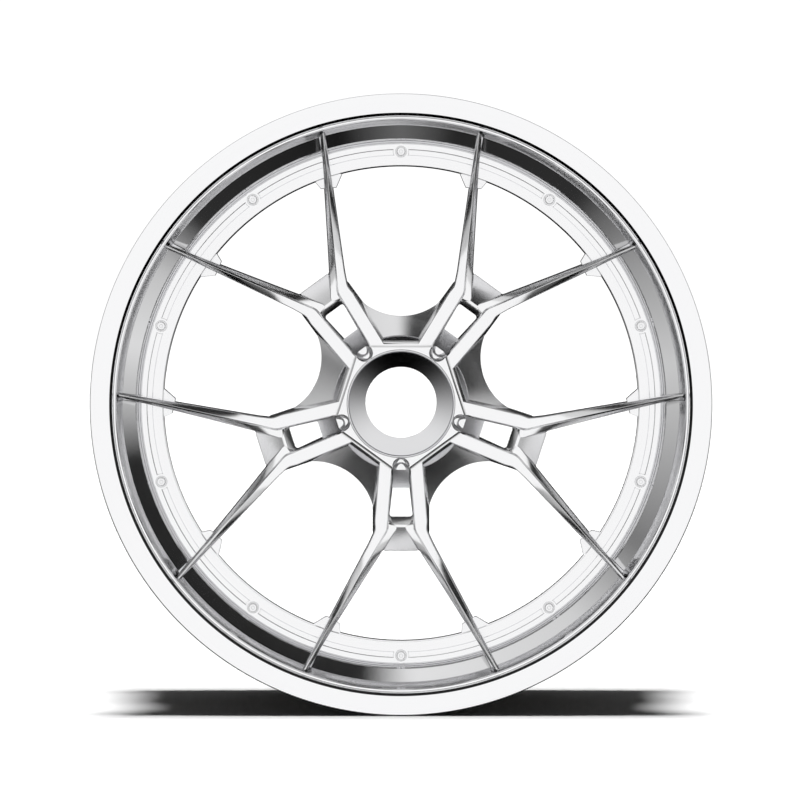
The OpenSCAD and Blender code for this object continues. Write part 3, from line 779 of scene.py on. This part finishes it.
@dataclass
class WheelCentre:
    """The forged centre: hub, five stems that part into twin arms, and the bolting ring."""

    shop: Shop
    slot_half: float = 7.6
    rail_spread: float = 0.08
    rail_w: float = 11.7
    fork_u: float = 111.5
    slope: float = 0.598
    outer_fork_w: float = 8.9
    inner_fork_w: float = 8.2
    tip_w: float = 2.2
    step: float = 1.7
    dip_z: float = 63.5
    hub_z: float = 69.0
    tip_z: float = 104.05
    tip_t: float = 4.6
    pin_r: float = 56.0
    start_u: float = 44.0
    ring_in: float = 208.9
    ring_out: float = 229.9
    seat_z: float = 60.0
    ring_top: float = 72.0
    pad_reach: float = 104.0
    pad_edge_z: float = 24.0
    pad_mid_z: float = 38.0
    nose_chamfer: float = 3.8
    flat_r: float = 49.5
    foot_r: float = 55.7
    foot_z: float = 49.0
    window_u: float = 75.7
    tip_r: float = 246.3
    edge_w: float = 0.9
    web_half: float = 14.7
    spigot_r: float = 231.65
    scallop_r: float = 53.0
    scallop_out: float = 26.0
    slot_u: float = 55.0
    throat_r: float = 31.7
    throat_wall: float = 2.0
    pilot_r: float = 33.3
    pilot_h: float = 14.0
    cone_z: float = 18.0
    cone_rise: float = 14.1
    bore_top: float = 74.0
    bush_r: float = 10.0
    clip_r: float = 10.8
    bolt_r: float = 221.7
    bolt_count: int = 10

    def __post_init__(self) -> None:
        """Works out the stations where an arm meets the ring and ends."""
        rail = self.slot_half + self.rail_spread * (self.fork_u - self.pin_r)
        self.ridge_c = rail - self.slope * self.fork_u
        self.tip_u = self.ridge_u(self.tip_r)
        self.ring_u = self.ridge_u(self.ring_in)
        self.over_u = self.ridge_u(self.ring_out + 1.2)

    def ridge_u(self, radius: float) -> float:
        """Finds where an arm's ridge reaches a radius.

        Args:
            radius: the radius from the axle.

        Returns:
            Distance along the stem.
        """
        k = 1 + self.slope ** 2
        return (-self.slope * self.ridge_c + math.sqrt(radius ** 2 * k - self.ridge_c ** 2)) / k

    def top_z(self, u: float) -> float:
        """Returns the height of the spoke's front edge at distance u."""
        dip = self.fork_u - 6.5
        if u < dip:
            return self.dip_z + (self.hub_z - 0.15 - self.dip_z) * ((dip - u) / (dip - self.start_u)) ** 2
        return self.dip_z + (self.tip_z - self.dip_z) * ((u - dip) / (self.tip_u - dip)) ** 1.75

    def ridge_v(self, u: float) -> float:
        """Returns the ridge's sideways place at distance u, with a tight bend at the fork."""
        rail = self.slot_half + self.rail_spread * (u - self.pin_r)
        arm = self.ridge_c + self.slope * u
        gap = abs(rail - arm)
        ease = 1.1
        return max(rail, arm) + (0.25 * (ease - gap) ** 2 / ease if gap < ease else 0.0)

    def along(self, u: float) -> float:
        """Returns the share of the way from the fork to the tip."""
        return max(0.0, (u - self.fork_u) / (self.tip_u - self.fork_u))

    def outer_w(self, u: float) -> float:
        """Returns the width of the outer facet at distance u."""
        a, b = self.fork_u - 8, self.fork_u + 12
        if u < a:
            return self.rail_w
        if u < b:
            return self.rail_w + (self.outer_fork_w - self.rail_w) * (u - a) / (b - a)
        return self.outer_fork_w + (self.tip_w - self.outer_fork_w) * (u - b) / (self.tip_u - b)

    def inner_w(self, u: float) -> float:
        """Returns the width of the inner facet at distance u."""
        a, b = self.fork_u - 7, self.fork_u - 3
        if u < a:
            return self.edge_w
        if u < b:
            return self.edge_w + (self.inner_fork_w - self.edge_w) * (u - a) / (b - a)
        return self.inner_fork_w + (self.tip_w - self.inner_fork_w) * self.along(u) ** 0.62

    def rear_z(self, u: float) -> float:
        """Returns the height of the arm's rear edge at distance u."""
        rise, lift = self.pin_r + 14, self.fork_u + 8
        seat, over = self.seat_z + 1, 74.95
        if u < rise:
            return 12.0
        if u < lift:
            return 12 + 18 * (u - rise) / (lift - rise)
        if u < self.ring_u:
            return 30 + (seat - 30) * (u - lift) / (self.ring_u - lift)
        if u < self.over_u:
            return seat + (over - seat) * (u - self.ring_u) / (self.over_u - self.ring_u)
        share = (u - self.over_u) / (self.tip_u - self.over_u)
        return over + (self.tip_z - self.tip_t - over) * share ** 1.5

    def section(self, u: float, side: int) -> list[Vector]:
        """Draws one rounded section of a rail or arm.

        Args:
            u: distance along the stem.
            side: 1 or -1.

        Returns:
            The section's points in the stem's frame.
        """
        top, rear, ridge, far = self.top_z(u), self.rear_z(u), self.ridge_v(u), self.along(u)
        tilt = 0.4 + 1.8 * min(1.0, far * 4)
        step = self.step * (1 - 0.5 * far)
        outer, inner = ridge + self.outer_w(u), ridge - self.inner_w(u)
        foot = max(25.3, outer + 0.4) if u < self.fork_u + 4 else outer + 0.4
        drop = 1.2 + 2.4 * min(1.0, far * 5) * (1 - 0.5 * far)
        draft = 4.2 if self.fork_u + 1 < u < self.fork_u + 18 else 1.4 - 0.6 * far
        corners = [
            (foot, rear, 0.8), (outer, top - tilt, 1.1), (ridge + self.edge_w, top, 0.35),
            (ridge - min(self.edge_w, self.inner_w(u) - 0.3), top - step, 0.5),
            (inner, top - step - drop, 0.9), (inner - draft, rear, 0.8),
        ]
        return [Vector((u, side * v, z)) for v, z in outline(corners, 4)]

    def stations(self) -> list[float]:
        """Lists the distances at which an arm's sections stand."""
        bend = [self.fork_u + far for far in (-8, -3, 0, 4, 10, 17, 23)]
        marks = [self.start_u, *bend, self.ring_u, self.over_u, self.tip_u - 8, self.tip_u]
        out: list[float] = []
        for low, high in zip(marks, marks[1:]):
            n = max(2, round((high - low) / 4))
            out += [low + (high - low) * i / n for i in range(n)]
        return out + [self.tip_u]

    def spin_matrix(self, stem: int) -> Matrix:
        """Returns the turn that puts stem 0 straight down and the others after it."""
        return Matrix.Rotation(math.radians(-90 + TURN * stem), 4, "Z")

    def arm(self, stem: int, side: int) -> bpy.types.Object:
        """Builds one rail with its arm.

        Args:
            stem: number of the stem.
            side: 1 or -1.

        Returns:
            A closed solid.
        """
        turn = self.spin_matrix(stem)
        return loft("arm", [[turn @ p for p in self.section(u, side)] for u in self.stations()])

    def stem_slab(self, stem: int, profile: Sequence[Point2], half: float) -> bpy.types.Object:
        """Raises a side view of the stem into a slab across it.

        Args:
            stem: number of the stem.
            profile: distance and height of each corner.
            half: half the slab's width.

        Returns:
            A closed solid.
        """
        turn = self.spin_matrix(stem)
        return loft("slab", [[turn @ Vector((u, v, z)) for u, z in profile] for v in (-half, half)])

    def web(self, stem: int) -> bpy.types.Object:
        """Builds the web that joins a stem's rails."""
        land = self.top_z(self.fork_u) - self.step - 1.3
        profile = outline([
            (self.fork_u - 11, 25, 0), (self.fork_u - 5, land, 1.0), (self.fork_u - 2.4, land, 1.5),
            (self.fork_u + 19.5, land - 14, 0.8), (self.fork_u + 16, 30, 0),
        ])
        return self.stem_slab(stem, profile, self.web_half)

    def foot(self, stem: int, side: int) -> bpy.types.Object:
        """Builds the stepped foot beside an arm on the ring."""
        place = (self.spin_matrix(stem)
                 @ Matrix.Translation((self.ring_u, side * self.ridge_v(self.ring_u), 0))
                 @ Matrix.Rotation(side * math.atan(self.slope), 4, "Z"))
        shape = outline([
            (-9, -6.5, 1), (-9, 7.25, 1), (4.5, 14.5, 1.5), (12, 14.5, 0), (12, -13, 0), (0, -13, 1.5),
        ])
        flat = [(x, side * y) for x, y in shape]
        return prism("foot", flat, self.seat_z, self.ring_top - 3, place, 0.6)

    def hub(self) -> list[bpy.types.Object]:
        """Builds the scalloped pad and the five-sided nose."""
        pad = turned("pad", outline([
            (20, 0, 0), (69, 0, 0.8), (self.pad_reach, 16, 0.8), (self.pad_reach, self.pad_edge_z - 2, 2),
            (self.window_u, self.pad_mid_z, 30), (self.foot_r + 3.5, self.foot_z - 2, 5),
            (self.foot_r, self.foot_z + 5, 0), (20, self.foot_z + 5, 0),
        ]), 240)
        cuts = []
        bowl = [(0.01, -1), (self.scallop_r, -1), (self.scallop_r, 90), (0.01, 90)]
        for i in range(STEMS):
            turn = self.spin_matrix(i) @ Matrix.Rotation(math.radians(TURN / 2), 4, "Z")
            place = turn @ Matrix.Translation((self.pad_reach + self.scallop_out, 0, 0))
            cuts.append(turned("scallop", bowl, 160, place))
        combine(pad, cuts, "DIFFERENCE")
        corner = math.cos(math.radians(TURN / 2))
        side = outline([
            (self.foot_r, self.foot_z - 20, 0), (self.foot_r, self.hub_z - self.nose_chamfer, 1.2),
            (self.flat_r, self.hub_z, 0.8), (20, self.hub_z, 0),
        ], 4)[:-1]
        turns = [math.radians(-90 + TURN * i) for i in range(STEMS)]
        nose = loft("nose", [
            [Vector((r / corner * math.cos(a), r / corner * math.sin(a), z)) for a in turns] for r, z in side
        ])
        return [pad, nose]

    def ring(self) -> bpy.types.Object:
        """Builds the bolting ring with its groove and bolt bosses."""
        groove, half, top = self.bolt_r - 0.6, 2.2, self.ring_top
        ring = self.shop.lathe.spin("ring", outline([
            (self.ring_in, self.seat_z, 0.4), (self.spigot_r, self.seat_z, 0.4),
            (self.spigot_r, self.seat_z + 3.5, 0.5),
            (self.ring_out, self.seat_z + 5.2, 0.4), (self.ring_out, top - 1.8, 0.6),
            (self.ring_out - 1.8, top, 0.6), (groove + half + 0.5, top, 0.4), (groove + half, top - 1.2, 0.4),
            (groove - half, top - 1.2, 0.4), (groove - half - 0.5, top, 0.4), (self.ring_in + 0.9, top, 0.4),
            (self.ring_in, top - 2.2, 0.6),
        ], 3), 360, None)
        boss = turned("boss", [(0.01, 65.2), (7, 65.2), (7, top - 0.2), (6.8, top), (0.01, top)], 48)
        bosses = self.spread(boss, self.bolt_count, self.bolt_r, 90)
        combine(ring, [bosses], "UNION")
        return ring

    def spread(self, piece: bpy.types.Object, count: int, radius: float,
               first: float) -> bpy.types.Object:
        """Repeats a boss or a cutter round the axle, in the centre's own finish.

        Args:
            piece: one copy, built on the axle.
            count: number of copies.
            radius: pitch radius.
            first: angle of the first copy in degrees.

        Returns:
            One object that holds every copy.
        """
        return self.shop.repeater.spread(piece, count, radius, first, self.shop.finishes.get("centre"))

    def pocket(self, stem: int) -> list[bpy.types.Object]:
        """Makes the cutters of the slot between a stem's rails."""
        turn = self.spin_matrix(stem)
        cuts: list[bpy.types.Object] = []
        end, r = self.slot_u, self.slot_half
        reach = self.ridge_v(self.window_u) - 1.6

        def slot(u0: float, u1: float, z0: float, cove: float) -> None:
            """Adds a round-ended cutter that widens upwards over its cove."""
            arc = [(u0 + r * math.cos(math.radians(a)), r * math.sin(math.radians(a)))
                   for a in range(90, 271, 10)]
            half = self.ridge_v(u1) - 1.6
            flat = arc + [(u1, -half), (u1, half)]
            mid_u = (u0 + u1) / 2
            rows = [(z0, 0.55), (z0 + 0.3 * cove, 0.78), (z0 + 0.7 * cove, 0.94), (z0 + cove, 1.0), (95, 1.0)]
            cuts.append(loft("slot", [
                [turn @ Vector((mid_u + (x - mid_u) * (0.75 + 0.25 * s), y * s, z)) for x, y in flat]
                for z, s in rows
            ]))

        slot(end, self.window_u + 1, self.foot_z + 4, 3.0)
        slot(end + 4.6, self.window_u + 1, self.foot_z - 4, 3.0)
        cuts.append(self.stem_slab(stem, [
            (end + 3, self.foot_z - 3), (self.window_u + 2, self.pad_edge_z + 4),
            (self.window_u + 2, 90), (end + 3, 90),
        ], r - 0.4))
        window = outline([
            (self.window_u, -reach, 0.6),
            (self.fork_u - 9.6, -(self.ridge_v(self.fork_u) - 1.8), 2.6),
            (self.fork_u - 9.6, self.ridge_v(self.fork_u) - 1.8, 2.6),
            (self.window_u, reach, 0.6),
        ])
        cuts.append(prism("window", window, -1, 90, turn))
        return cuts

    def bores(self) -> list[bpy.types.Object]:
        """Makes the cutters of the hub bore, the throat, the cone and the bush seats."""
        cone_low = self.throat_r + self.throat_wall
        depth, top = self.bore_top - self.cone_z, self.bore_top
        cone_high = cone_low + self.cone_rise * depth / (self.hub_z - self.cone_z)
        main = turned("bore", [
            (0.01, -1), (self.pilot_r, -1), (self.pilot_r, self.pilot_h), (self.throat_r, self.pilot_h),
            (self.throat_r, self.cone_z), (cone_low, self.cone_z), (cone_high, top), (0.01, top),
        ], 240)
        seat = turned("bush seat", [
            (0.01, -1), (self.bush_r, -1), (self.bush_r, 0.8), (self.clip_r, 0.8), (self.clip_r, 2.1),
            (self.bush_r, 2.1), (self.bush_r, 22.5), (0.01, 22.5),
        ], 48)
        seats = self.spread(seat, STEMS, self.pin_r, -90)
        hole = turned("bolt hole", [
            (0.01, 59), (3.15, 59), (3.15, 69.4), (5, 69.4), (5, 71.7), (5.3, 72), (5.3, top), (0.01, top),
        ], 48)
        holes = self.spread(hole, self.bolt_count, self.bolt_r, 90)
        return [main, seats, holes]

    def build(self) -> None:
        """Joins every part of the centre, cuts it and dresses it."""
        whole = self.ring()
        whole.name = "centre_forging"
        parts = self.hub()
        for stem in range(STEMS):
            parts += [self.arm(stem, 1), self.arm(stem, -1), self.web(stem)]
            parts += [self.foot(stem, 1), self.foot(stem, -1)]
        combine(whole, parts, "UNION")
        cuts = self.bores()
        for stem in range(STEMS):
            cuts += self.pocket(stem)
        combine(whole, cuts, "DIFFERENCE")
        self.shop.finish_piece(whole, "centre", "forged_centre", "centre_hub")
        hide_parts("centre_arms", "centre_ring")


# ---------- hub fittings and fasteners ----------


@dataclass
class HubFittings:
    """The centre nut's seat, the drive pin bushes and the rings that keep them in."""

    shop: Shop
    throat_r: float = 31.7
    mouth_r: float = 45.8
    wall: float = 2.0
    base_z: float = 18.0
    top_z: float = 69.0
    pin_r: float = 56.0

    def build(self) -> None:
        """Builds and dresses the fittings."""
        seat = self.shop.lathe.spin("nut_seat_ring", outline([
            (self.throat_r, self.base_z, 0.3), (self.throat_r + self.wall - 0.05, self.base_z, 0.3),
            (self.mouth_r + self.wall - 0.05, self.top_z, 0.5), (self.mouth_r + 0.5, self.top_z, 0.5),
            (self.mouth_r - 0.3, self.top_z - 1.2, 0.4), (self.throat_r, self.base_z + 1, 0.8),
        ]), 288, self.shop.finishes.get("seat"))
        self.shop.finish_piece(seat, "seat", "seat_anodised", "centre_nut_seat")
        bush = turned("bush_set", outline([
            (7.1, 22.2, 0.5), (9.98, 22.2, 0.5), (9.98, 2.2, 0.5), (8.1, 2.2, 0.3), (7.1, 3.3, 0.3),
        ], 3), 64)
        self.shop.repeater.spread(bush, STEMS, self.pin_r, -90, self.shop.finishes.get("hard_steel"))
        self.shop.finish_piece(bush, "hard_steel", "bush_steel", "drive_pin_bushes")
        steps, bar = 60, ((8.4, 0.85), (10.6, 0.85), (10.6, 2.05), (8.4, 2.05))
        angles = [math.radians(10 + 340 * i / steps) for i in range(steps + 1)]
        clip = loft("bush_clips", [
            [Vector((r * math.cos(a), r * math.sin(a), z)) for r, z in bar] for a in angles
        ])
        self.shop.repeater.spread(clip, STEMS, self.pin_r, -90, self.shop.finishes.get("hard_steel"))
        self.shop.finish_piece(clip, "hard_steel", "bush_steel", "bush_retaining_rings")


@dataclass
class Fasteners:
    """Twelve-point bolts, washers and self-locking nuts of the rim joint."""

    shop: Shop
    count: int = 10
    circle: float = 221.7
    bolt_d: float = 6.0
    head_d: float = 8.2
    head_z: float = 70.6
    head_h: float = 5.0
    tail_z: float = 34.8
    washer_t: float = 1.2
    flange_z: float = 44.0
    nut_af: float = 10.0
    nut_h: float = 6.0
    pitch: float = 1.0

    def spread(self, piece: bpy.types.Object, node: str) -> None:
        """Repeats a fastener round the joint and dresses it.

        Args:
            piece: one fastener on the axle.
            node: the CAD node it stands for.
        """
        self.shop.repeater.spread(piece, self.count, self.circle, 90, self.shop.finishes.get("steel"))
        self.shop.finish_piece(piece, "steel", "bolt_steel", node, angle=30)

    def bolt(self) -> bpy.types.Object:
        """Builds one bolt: threaded shank, flange and twelve-point head with a dimple."""
        r = self.bolt_d / 2
        shank: list[Point2] = [(0.01, self.head_z + 0.5), (r, self.head_z + 0.5), (r, self.tail_z + 14)]
        z = self.tail_z + 14 - self.pitch / 2
        while z > self.tail_z + 1:
            shank += [(r - 0.45, z), (r, z - self.pitch / 2)]
            z -= self.pitch
        shank += [(r - 0.7, self.tail_z), (0.01, self.tail_z)]
        head_r, top = self.head_d / 2, self.head_z + self.head_h
        low = self.head_z
        flange = outline([
            (0.01, low, 0), (head_r, low, 0.2), (head_r, low + 1.0, 0.3), (head_r - 0.5, low + 1.5, 0),
            (0.01, low + 1.5, 0),
        ], 3)
        star: list[Point2] = []
        for i in range(24):
            a = math.radians(15 * i)
            reach = head_r - (0.25 if i % 2 == 0 else 0.75)
            star.append((reach * math.cos(a), reach * math.sin(a)))
        drive = prism("drive", star, self.head_z + 1.2, top, chamfer=0.45)
        dimple = turned("dimple", [
            (0.01, top - 1.1), (1.3, top - 0.7), (1.9, top + 0.2), (0.01, top + 0.2),
        ], 24)
        combine(drive, [dimple], "DIFFERENCE")
        return merge_pieces("bolt_set", [
            turned("shank", shank, 32), turned("flange", flange, 40), drive,
        ])

    def washer(self, name: str, outer: float, low: float) -> bpy.types.Object:
        """Builds one washer.

        Args:
            name: name of the piece.
            outer: its outer radius.
            low: height of its lower face.

        Returns:
            The washer on the axle.
        """
        inner = self.bolt_d / 2 + 0.15
        high = low + self.washer_t
        return turned(name, outline([
            (inner, low, 0.2), (outer, low, 0.2), (outer, high, 0.3), (inner, high, 0.2),
        ], 3), 48)

    def nut(self) -> bpy.types.Object:
        """Builds one self-locking nut with its round collar."""
        top = self.flange_z - self.washer_t
        low = top - self.nut_h
        corner_r, collar_r = self.nut_af / 2 / math.cos(math.pi / 6), self.nut_af / 2 - 0.4
        angles = [math.radians(60 * i) for i in range(6)]
        hexagon = [(corner_r * math.cos(a), corner_r * math.sin(a)) for a in angles]
        body = prism("body", hexagon, low + 1.8, top)
        trim = turned("trim", [(4.75, low), (8, low), (8, low + 4), (4.75, low + 1.7)], 48)
        combine(body, [trim], "DIFFERENCE")
        collar = turned("collar", outline([
            (0.01, low, 0), (collar_r, low, 0.7), (collar_r, low + 2.2, 0), (0.01, low + 2.2, 0),
        ], 3), 48)
        combine(body, [collar], "UNION")
        hole = turned("hole", [(0.01, low - 1), (3, low - 1), (3, top + 1), (0.01, top + 1)], 32)
        combine(body, [hole], "DIFFERENCE")
        body.name = "lock_nut_set"
        return body

    def build(self) -> None:
        """Builds and dresses every fastener."""
        self.spread(self.bolt(), "assembly_bolts")
        self.spread(self.washer("bolt_washer_set", 4.85, 69.4), "bolt_washers")
        low = self.flange_z - self.washer_t
        self.spread(self.washer("nut_washer_set", self.nut_af / 2 + 1.2, low), "nut_washers")
        self.spread(self.nut(), "lock_nuts")


# ---------- tyre valve ----------


@dataclass
class TyreValve:
    """The clamp-in valve and the rim's seal, which keep their CAD shapes."""

    shop: Shop

    def build(self) -> None:
        """Dresses the CAD pieces whose plain shape is right."""
        dress = {
            "valve_stem": "nickel", "valve_inner_seal": "rubber", "valve_outer_seal": "rubber",
            "valve_washer": "nickel", "valve_nut": "nickel", "valve_core_body": "brass",
            "valve_core_gasket": "gasket", "valve_core_spring": "steel", "valve_core_pin": "brass",
            "valve_pin_seal": "rubber", "valve_cap": "plastic", "valve_cap_seal": "rubber",
            "rim_seal_ring": "rubber",
        }
        for node, finish in dress.items():
            piece = frame["nodes"][node]
            piece.data.materials.clear()
            piece.data.materials.append(self.shop.finishes.get(finish))
            LOG.info("%s: CAD piece, %s", node, finish)


# ---------- studio ----------


@dataclass
class Studio:
    """Pale floor, white surround, soft light and the camera."""

    # Soft boxes round the wheel: degrees from the right, turning upwards, and strength there
    LIGHT_PLAN: ClassVar[tuple[tuple[float, float], ...]] = (
        (10, 0.02), (82, 0.02), (92, 0.85), (130, 0.7), (151, 0.2), (190, 0.65), (212, 0.35), (230, 0.03),
        (259, 0.02), (270, 0.14), (282, 0.01), (317, 0.03), (330, 0.6), (346, 0.8),
    )

    # Fades over one way: where each starts and stops, then the strength before and after it
    SKY: ClassVar[Fade] = ((-0.5, 0.45), (0.0, 1.05))
    WINGS: ClassVar[Fade] = ((0.02, 0.14), (0.02, 1.0))
    BACK: ClassVar[Fade] = ((0.86, 0.97), (1.0, 0.01))
    BESIDE: ClassVar[Fade] = ((-0.44, -0.32), (1.0, 0.0))
    AHEAD: ClassVar[Fade] = ((-0.67, -0.56), (1.05, 0.0))

    floor_z: float = -0.2715
    floor_r: float = 19.0
    distance: float = 4.0
    lens: float = 206.7
    rise: float = 1.3
    aim: Corner = (-0.0009, -0.11315, 0.0043)
    seam_glow: float = 0.45
    backdrop_glow: float = 1.1
    world_glow: float = 0.02
    lamp_strength: float = 4.4
    lamp_spread: float = 15.0

    def glow(self, name: str, build: Callable[[Any, Any], Any]) -> bpy.types.Material:
        """Makes a glowing material whose strength a small pattern gives.

        Args:
            name: name of the material.
            build: draws the strength from the tree and the object's own coordinates.

        Returns:
            The material.
        """
        material = bpy.data.materials.new(name)
        material.use_nodes = True
        tree = material.node_tree
        tree.nodes.clear()
        where = add(tree, "ShaderNodeTexCoord", {}, {}).outputs["Object"]
        light = add(tree, "ShaderNodeEmission", {}, {"Strength": build(tree, where)})
        add(tree, "ShaderNodeOutputMaterial", {}, {"Surface": light.outputs[0]})
        return material

    def surround_light(self, tree: Any, where: Any) -> Any:
        """Draws the studio that the metal reflects, as a fixed strength for each direction.

        A bright patch stands ahead of the face, soft boxes stand round its sides by angle, and
        behind the wheel a sky fades downwards and goes dark on the axle. Light that has already
        bounced off a dull surface sees none of it.

        Args:
            tree: the material's tree.
            where: the socket of the dome's own coordinates.

        Returns:
            The socket of the strength.
        """
        way = add(tree, "ShaderNodeVectorMath", {"operation": "NORMALIZE"}, {0: where}).outputs[0]
        part = add(tree, "ShaderNodeSeparateXYZ", {}, {0: way})
        forward = part.outputs["Y"]
        angle = maths(tree, "ARCTAN2", part.outputs["Z"], part.outputs["X"])
        turn = maths(tree, "FRACT", maths(tree, "DIVIDE", angle, 2 * math.pi), 0)
        boxes = add(tree, "ShaderNodeValToRGB", {}, {0: turn})
        stops = boxes.color_ramp.elements
        stops[1].position = 1
        for degrees, strength in self.LIGHT_PLAN:
            stop = stops.new(degrees / 360)
            stop.color = (strength, strength, strength, 1)
        for stop in (stops[0], stops[-1]):
            stop.color = (self.seam_glow, self.seam_glow, self.seam_glow, 1)
        sky = self.fade(tree, part.outputs["Z"], self.SKY)
        wings = self.fade(tree, forward, self.WINGS)
        back = self.fade(tree, forward, self.BACK)
        behind = maths(tree, "MULTIPLY", maths(tree, "MULTIPLY", sky, wings), back)
        round_wheel = maths(tree, "MULTIPLY", boxes.outputs[0], self.fade(tree, forward, self.BESIDE))
        ahead = self.fade(tree, forward, self.AHEAD)
        whole = maths(tree, "MAXIMUM", maths(tree, "MAXIMUM", round_wheel, behind), ahead)
        bounced = maths(tree, "MINIMUM", add(tree, "ShaderNodeLightPath", {}, {}).outputs["Diffuse Depth"], 1)
        return maths(tree, "MULTIPLY", whole, maths(tree, "SUBTRACT", 1, bounced))

    def fade(self, tree: Any, value: Any, plan: Fade) -> Any:
        """Fades softly from one strength to another.

        Args:
            tree: the material's tree.
            value: the socket that the fade follows.
            plan: where the fade starts and stops, and the strength before and after it.

        Returns:
            The socket of the strength.
        """
        span, ends = plan
        return add(tree, "ShaderNodeMapRange", {"interpolation_type": "SMOOTHSTEP"}, {
            "Value": value, "From Min": span[0], "From Max": span[1], "To Min": ends[0], "To Max": ends[1],
        }).outputs[0]

    def dome(self, name: str, radius: float, material: bpy.types.Material) -> bpy.types.Object:
        """Makes a big sphere round the scene.

        Args:
            name: name of the sphere.
            radius: its radius in metres.
            material: its glow.

        Returns:
            The sphere, not yet staged.
        """
        mesh = bpy.data.meshes.new(name)
        work = bmesh.new()
        bmesh.ops.create_uvsphere(work, u_segments=64, v_segments=32, radius=radius)
        bmesh.ops.reverse_faces(work, faces=work.faces)
        work.to_mesh(mesh)
        work.free()
        mesh.materials.append(material)
        dome = stand(name, mesh)
        dome.visible_shadow = False
        dome.visible_diffuse = False
        return dome

    def floor(self) -> bpy.types.Object:
        """Makes the pale floor and returns it."""
        mesh = bpy.data.meshes.new("floor")
        work = bmesh.new()
        bmesh.ops.create_circle(work, cap_ends=True, segments=96, radius=self.floor_r,
                                matrix=Matrix.Translation((0, 0, self.floor_z)))
        work.to_mesh(mesh)
        work.free()
        material = bpy.data.materials.new("matt white floor")
        material.use_nodes = True
        shader = material.node_tree.nodes["Principled BSDF"]
        shader.inputs["Base Color"].default_value = linear("F4F4F4")
        shader.inputs["Roughness"].default_value = 0.9
        shader.inputs["Specular IOR Level"].default_value = 0.1
        mesh.materials.append(material)
        floor = stand("floor", mesh)
        floor.visible_glossy = False
        return floor

    def lamp(self) -> None:
        """Adds the soft light overhead, which shines straight down."""
        data = bpy.data.lights.new("overhead light", "SUN")
        data.energy = self.lamp_strength
        data.angle = math.radians(self.lamp_spread)
        stand("overhead light", data).visible_glossy = False

    def camera(self) -> None:
        """Sets the camera level with the hub, just above its middle."""
        data = bpy.data.cameras.new("camera")
        data.lens = self.lens
        data.sensor_width = 36
        data.clip_end = 100
        camera = stand("camera", data)
        rise = math.radians(self.rise)
        back = Vector((0, -math.cos(rise), math.sin(rise)))
        camera.location = Vector(self.aim) + back * self.distance
        camera.rotation_euler = (-back).to_track_quat("-Z", "Y").to_euler()
        bpy.context.scene.camera = camera

    def build(self) -> None:
        """Builds the studio round the wheel."""
        scene = bpy.context.scene
        scene.view_settings.view_transform = "Standard"
        world = bpy.data.worlds.new("studio")
        world.use_nodes = True
        background = world.node_tree.nodes["Background"]
        background.inputs["Strength"].default_value = self.world_glow
        background.inputs["Color"].default_value = (1, 1, 1, 1)
        scene.world = world
        surround = self.dome("studio_surround", 20, self.glow("soft studio surround", self.surround_light))
        surround.visible_camera = False
        plain = self.glow("white backdrop", lambda tree, where: self.backdrop_glow)
        backdrop = self.dome("white_backdrop", 21, plain)
        backdrop.visible_glossy = False
        floor = self.floor()
        self.lamp()
        self.camera()


def main() -> None:
    """Builds the studio and every part of the wheel in order."""
    logging.basicConfig(level=logging.INFO, format="%(name)s %(message)s")
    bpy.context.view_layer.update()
    shop = Shop(Finishes(), Repeater(), Lathe())
    Studio().build()
    RimHalves(shop).build()
    WheelCentre(shop).build()
    HubFittings(shop).build()
    Fasteners(shop).build()
    TyreValve(shop).build()
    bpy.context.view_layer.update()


if __name__ == "__main__":
    main()
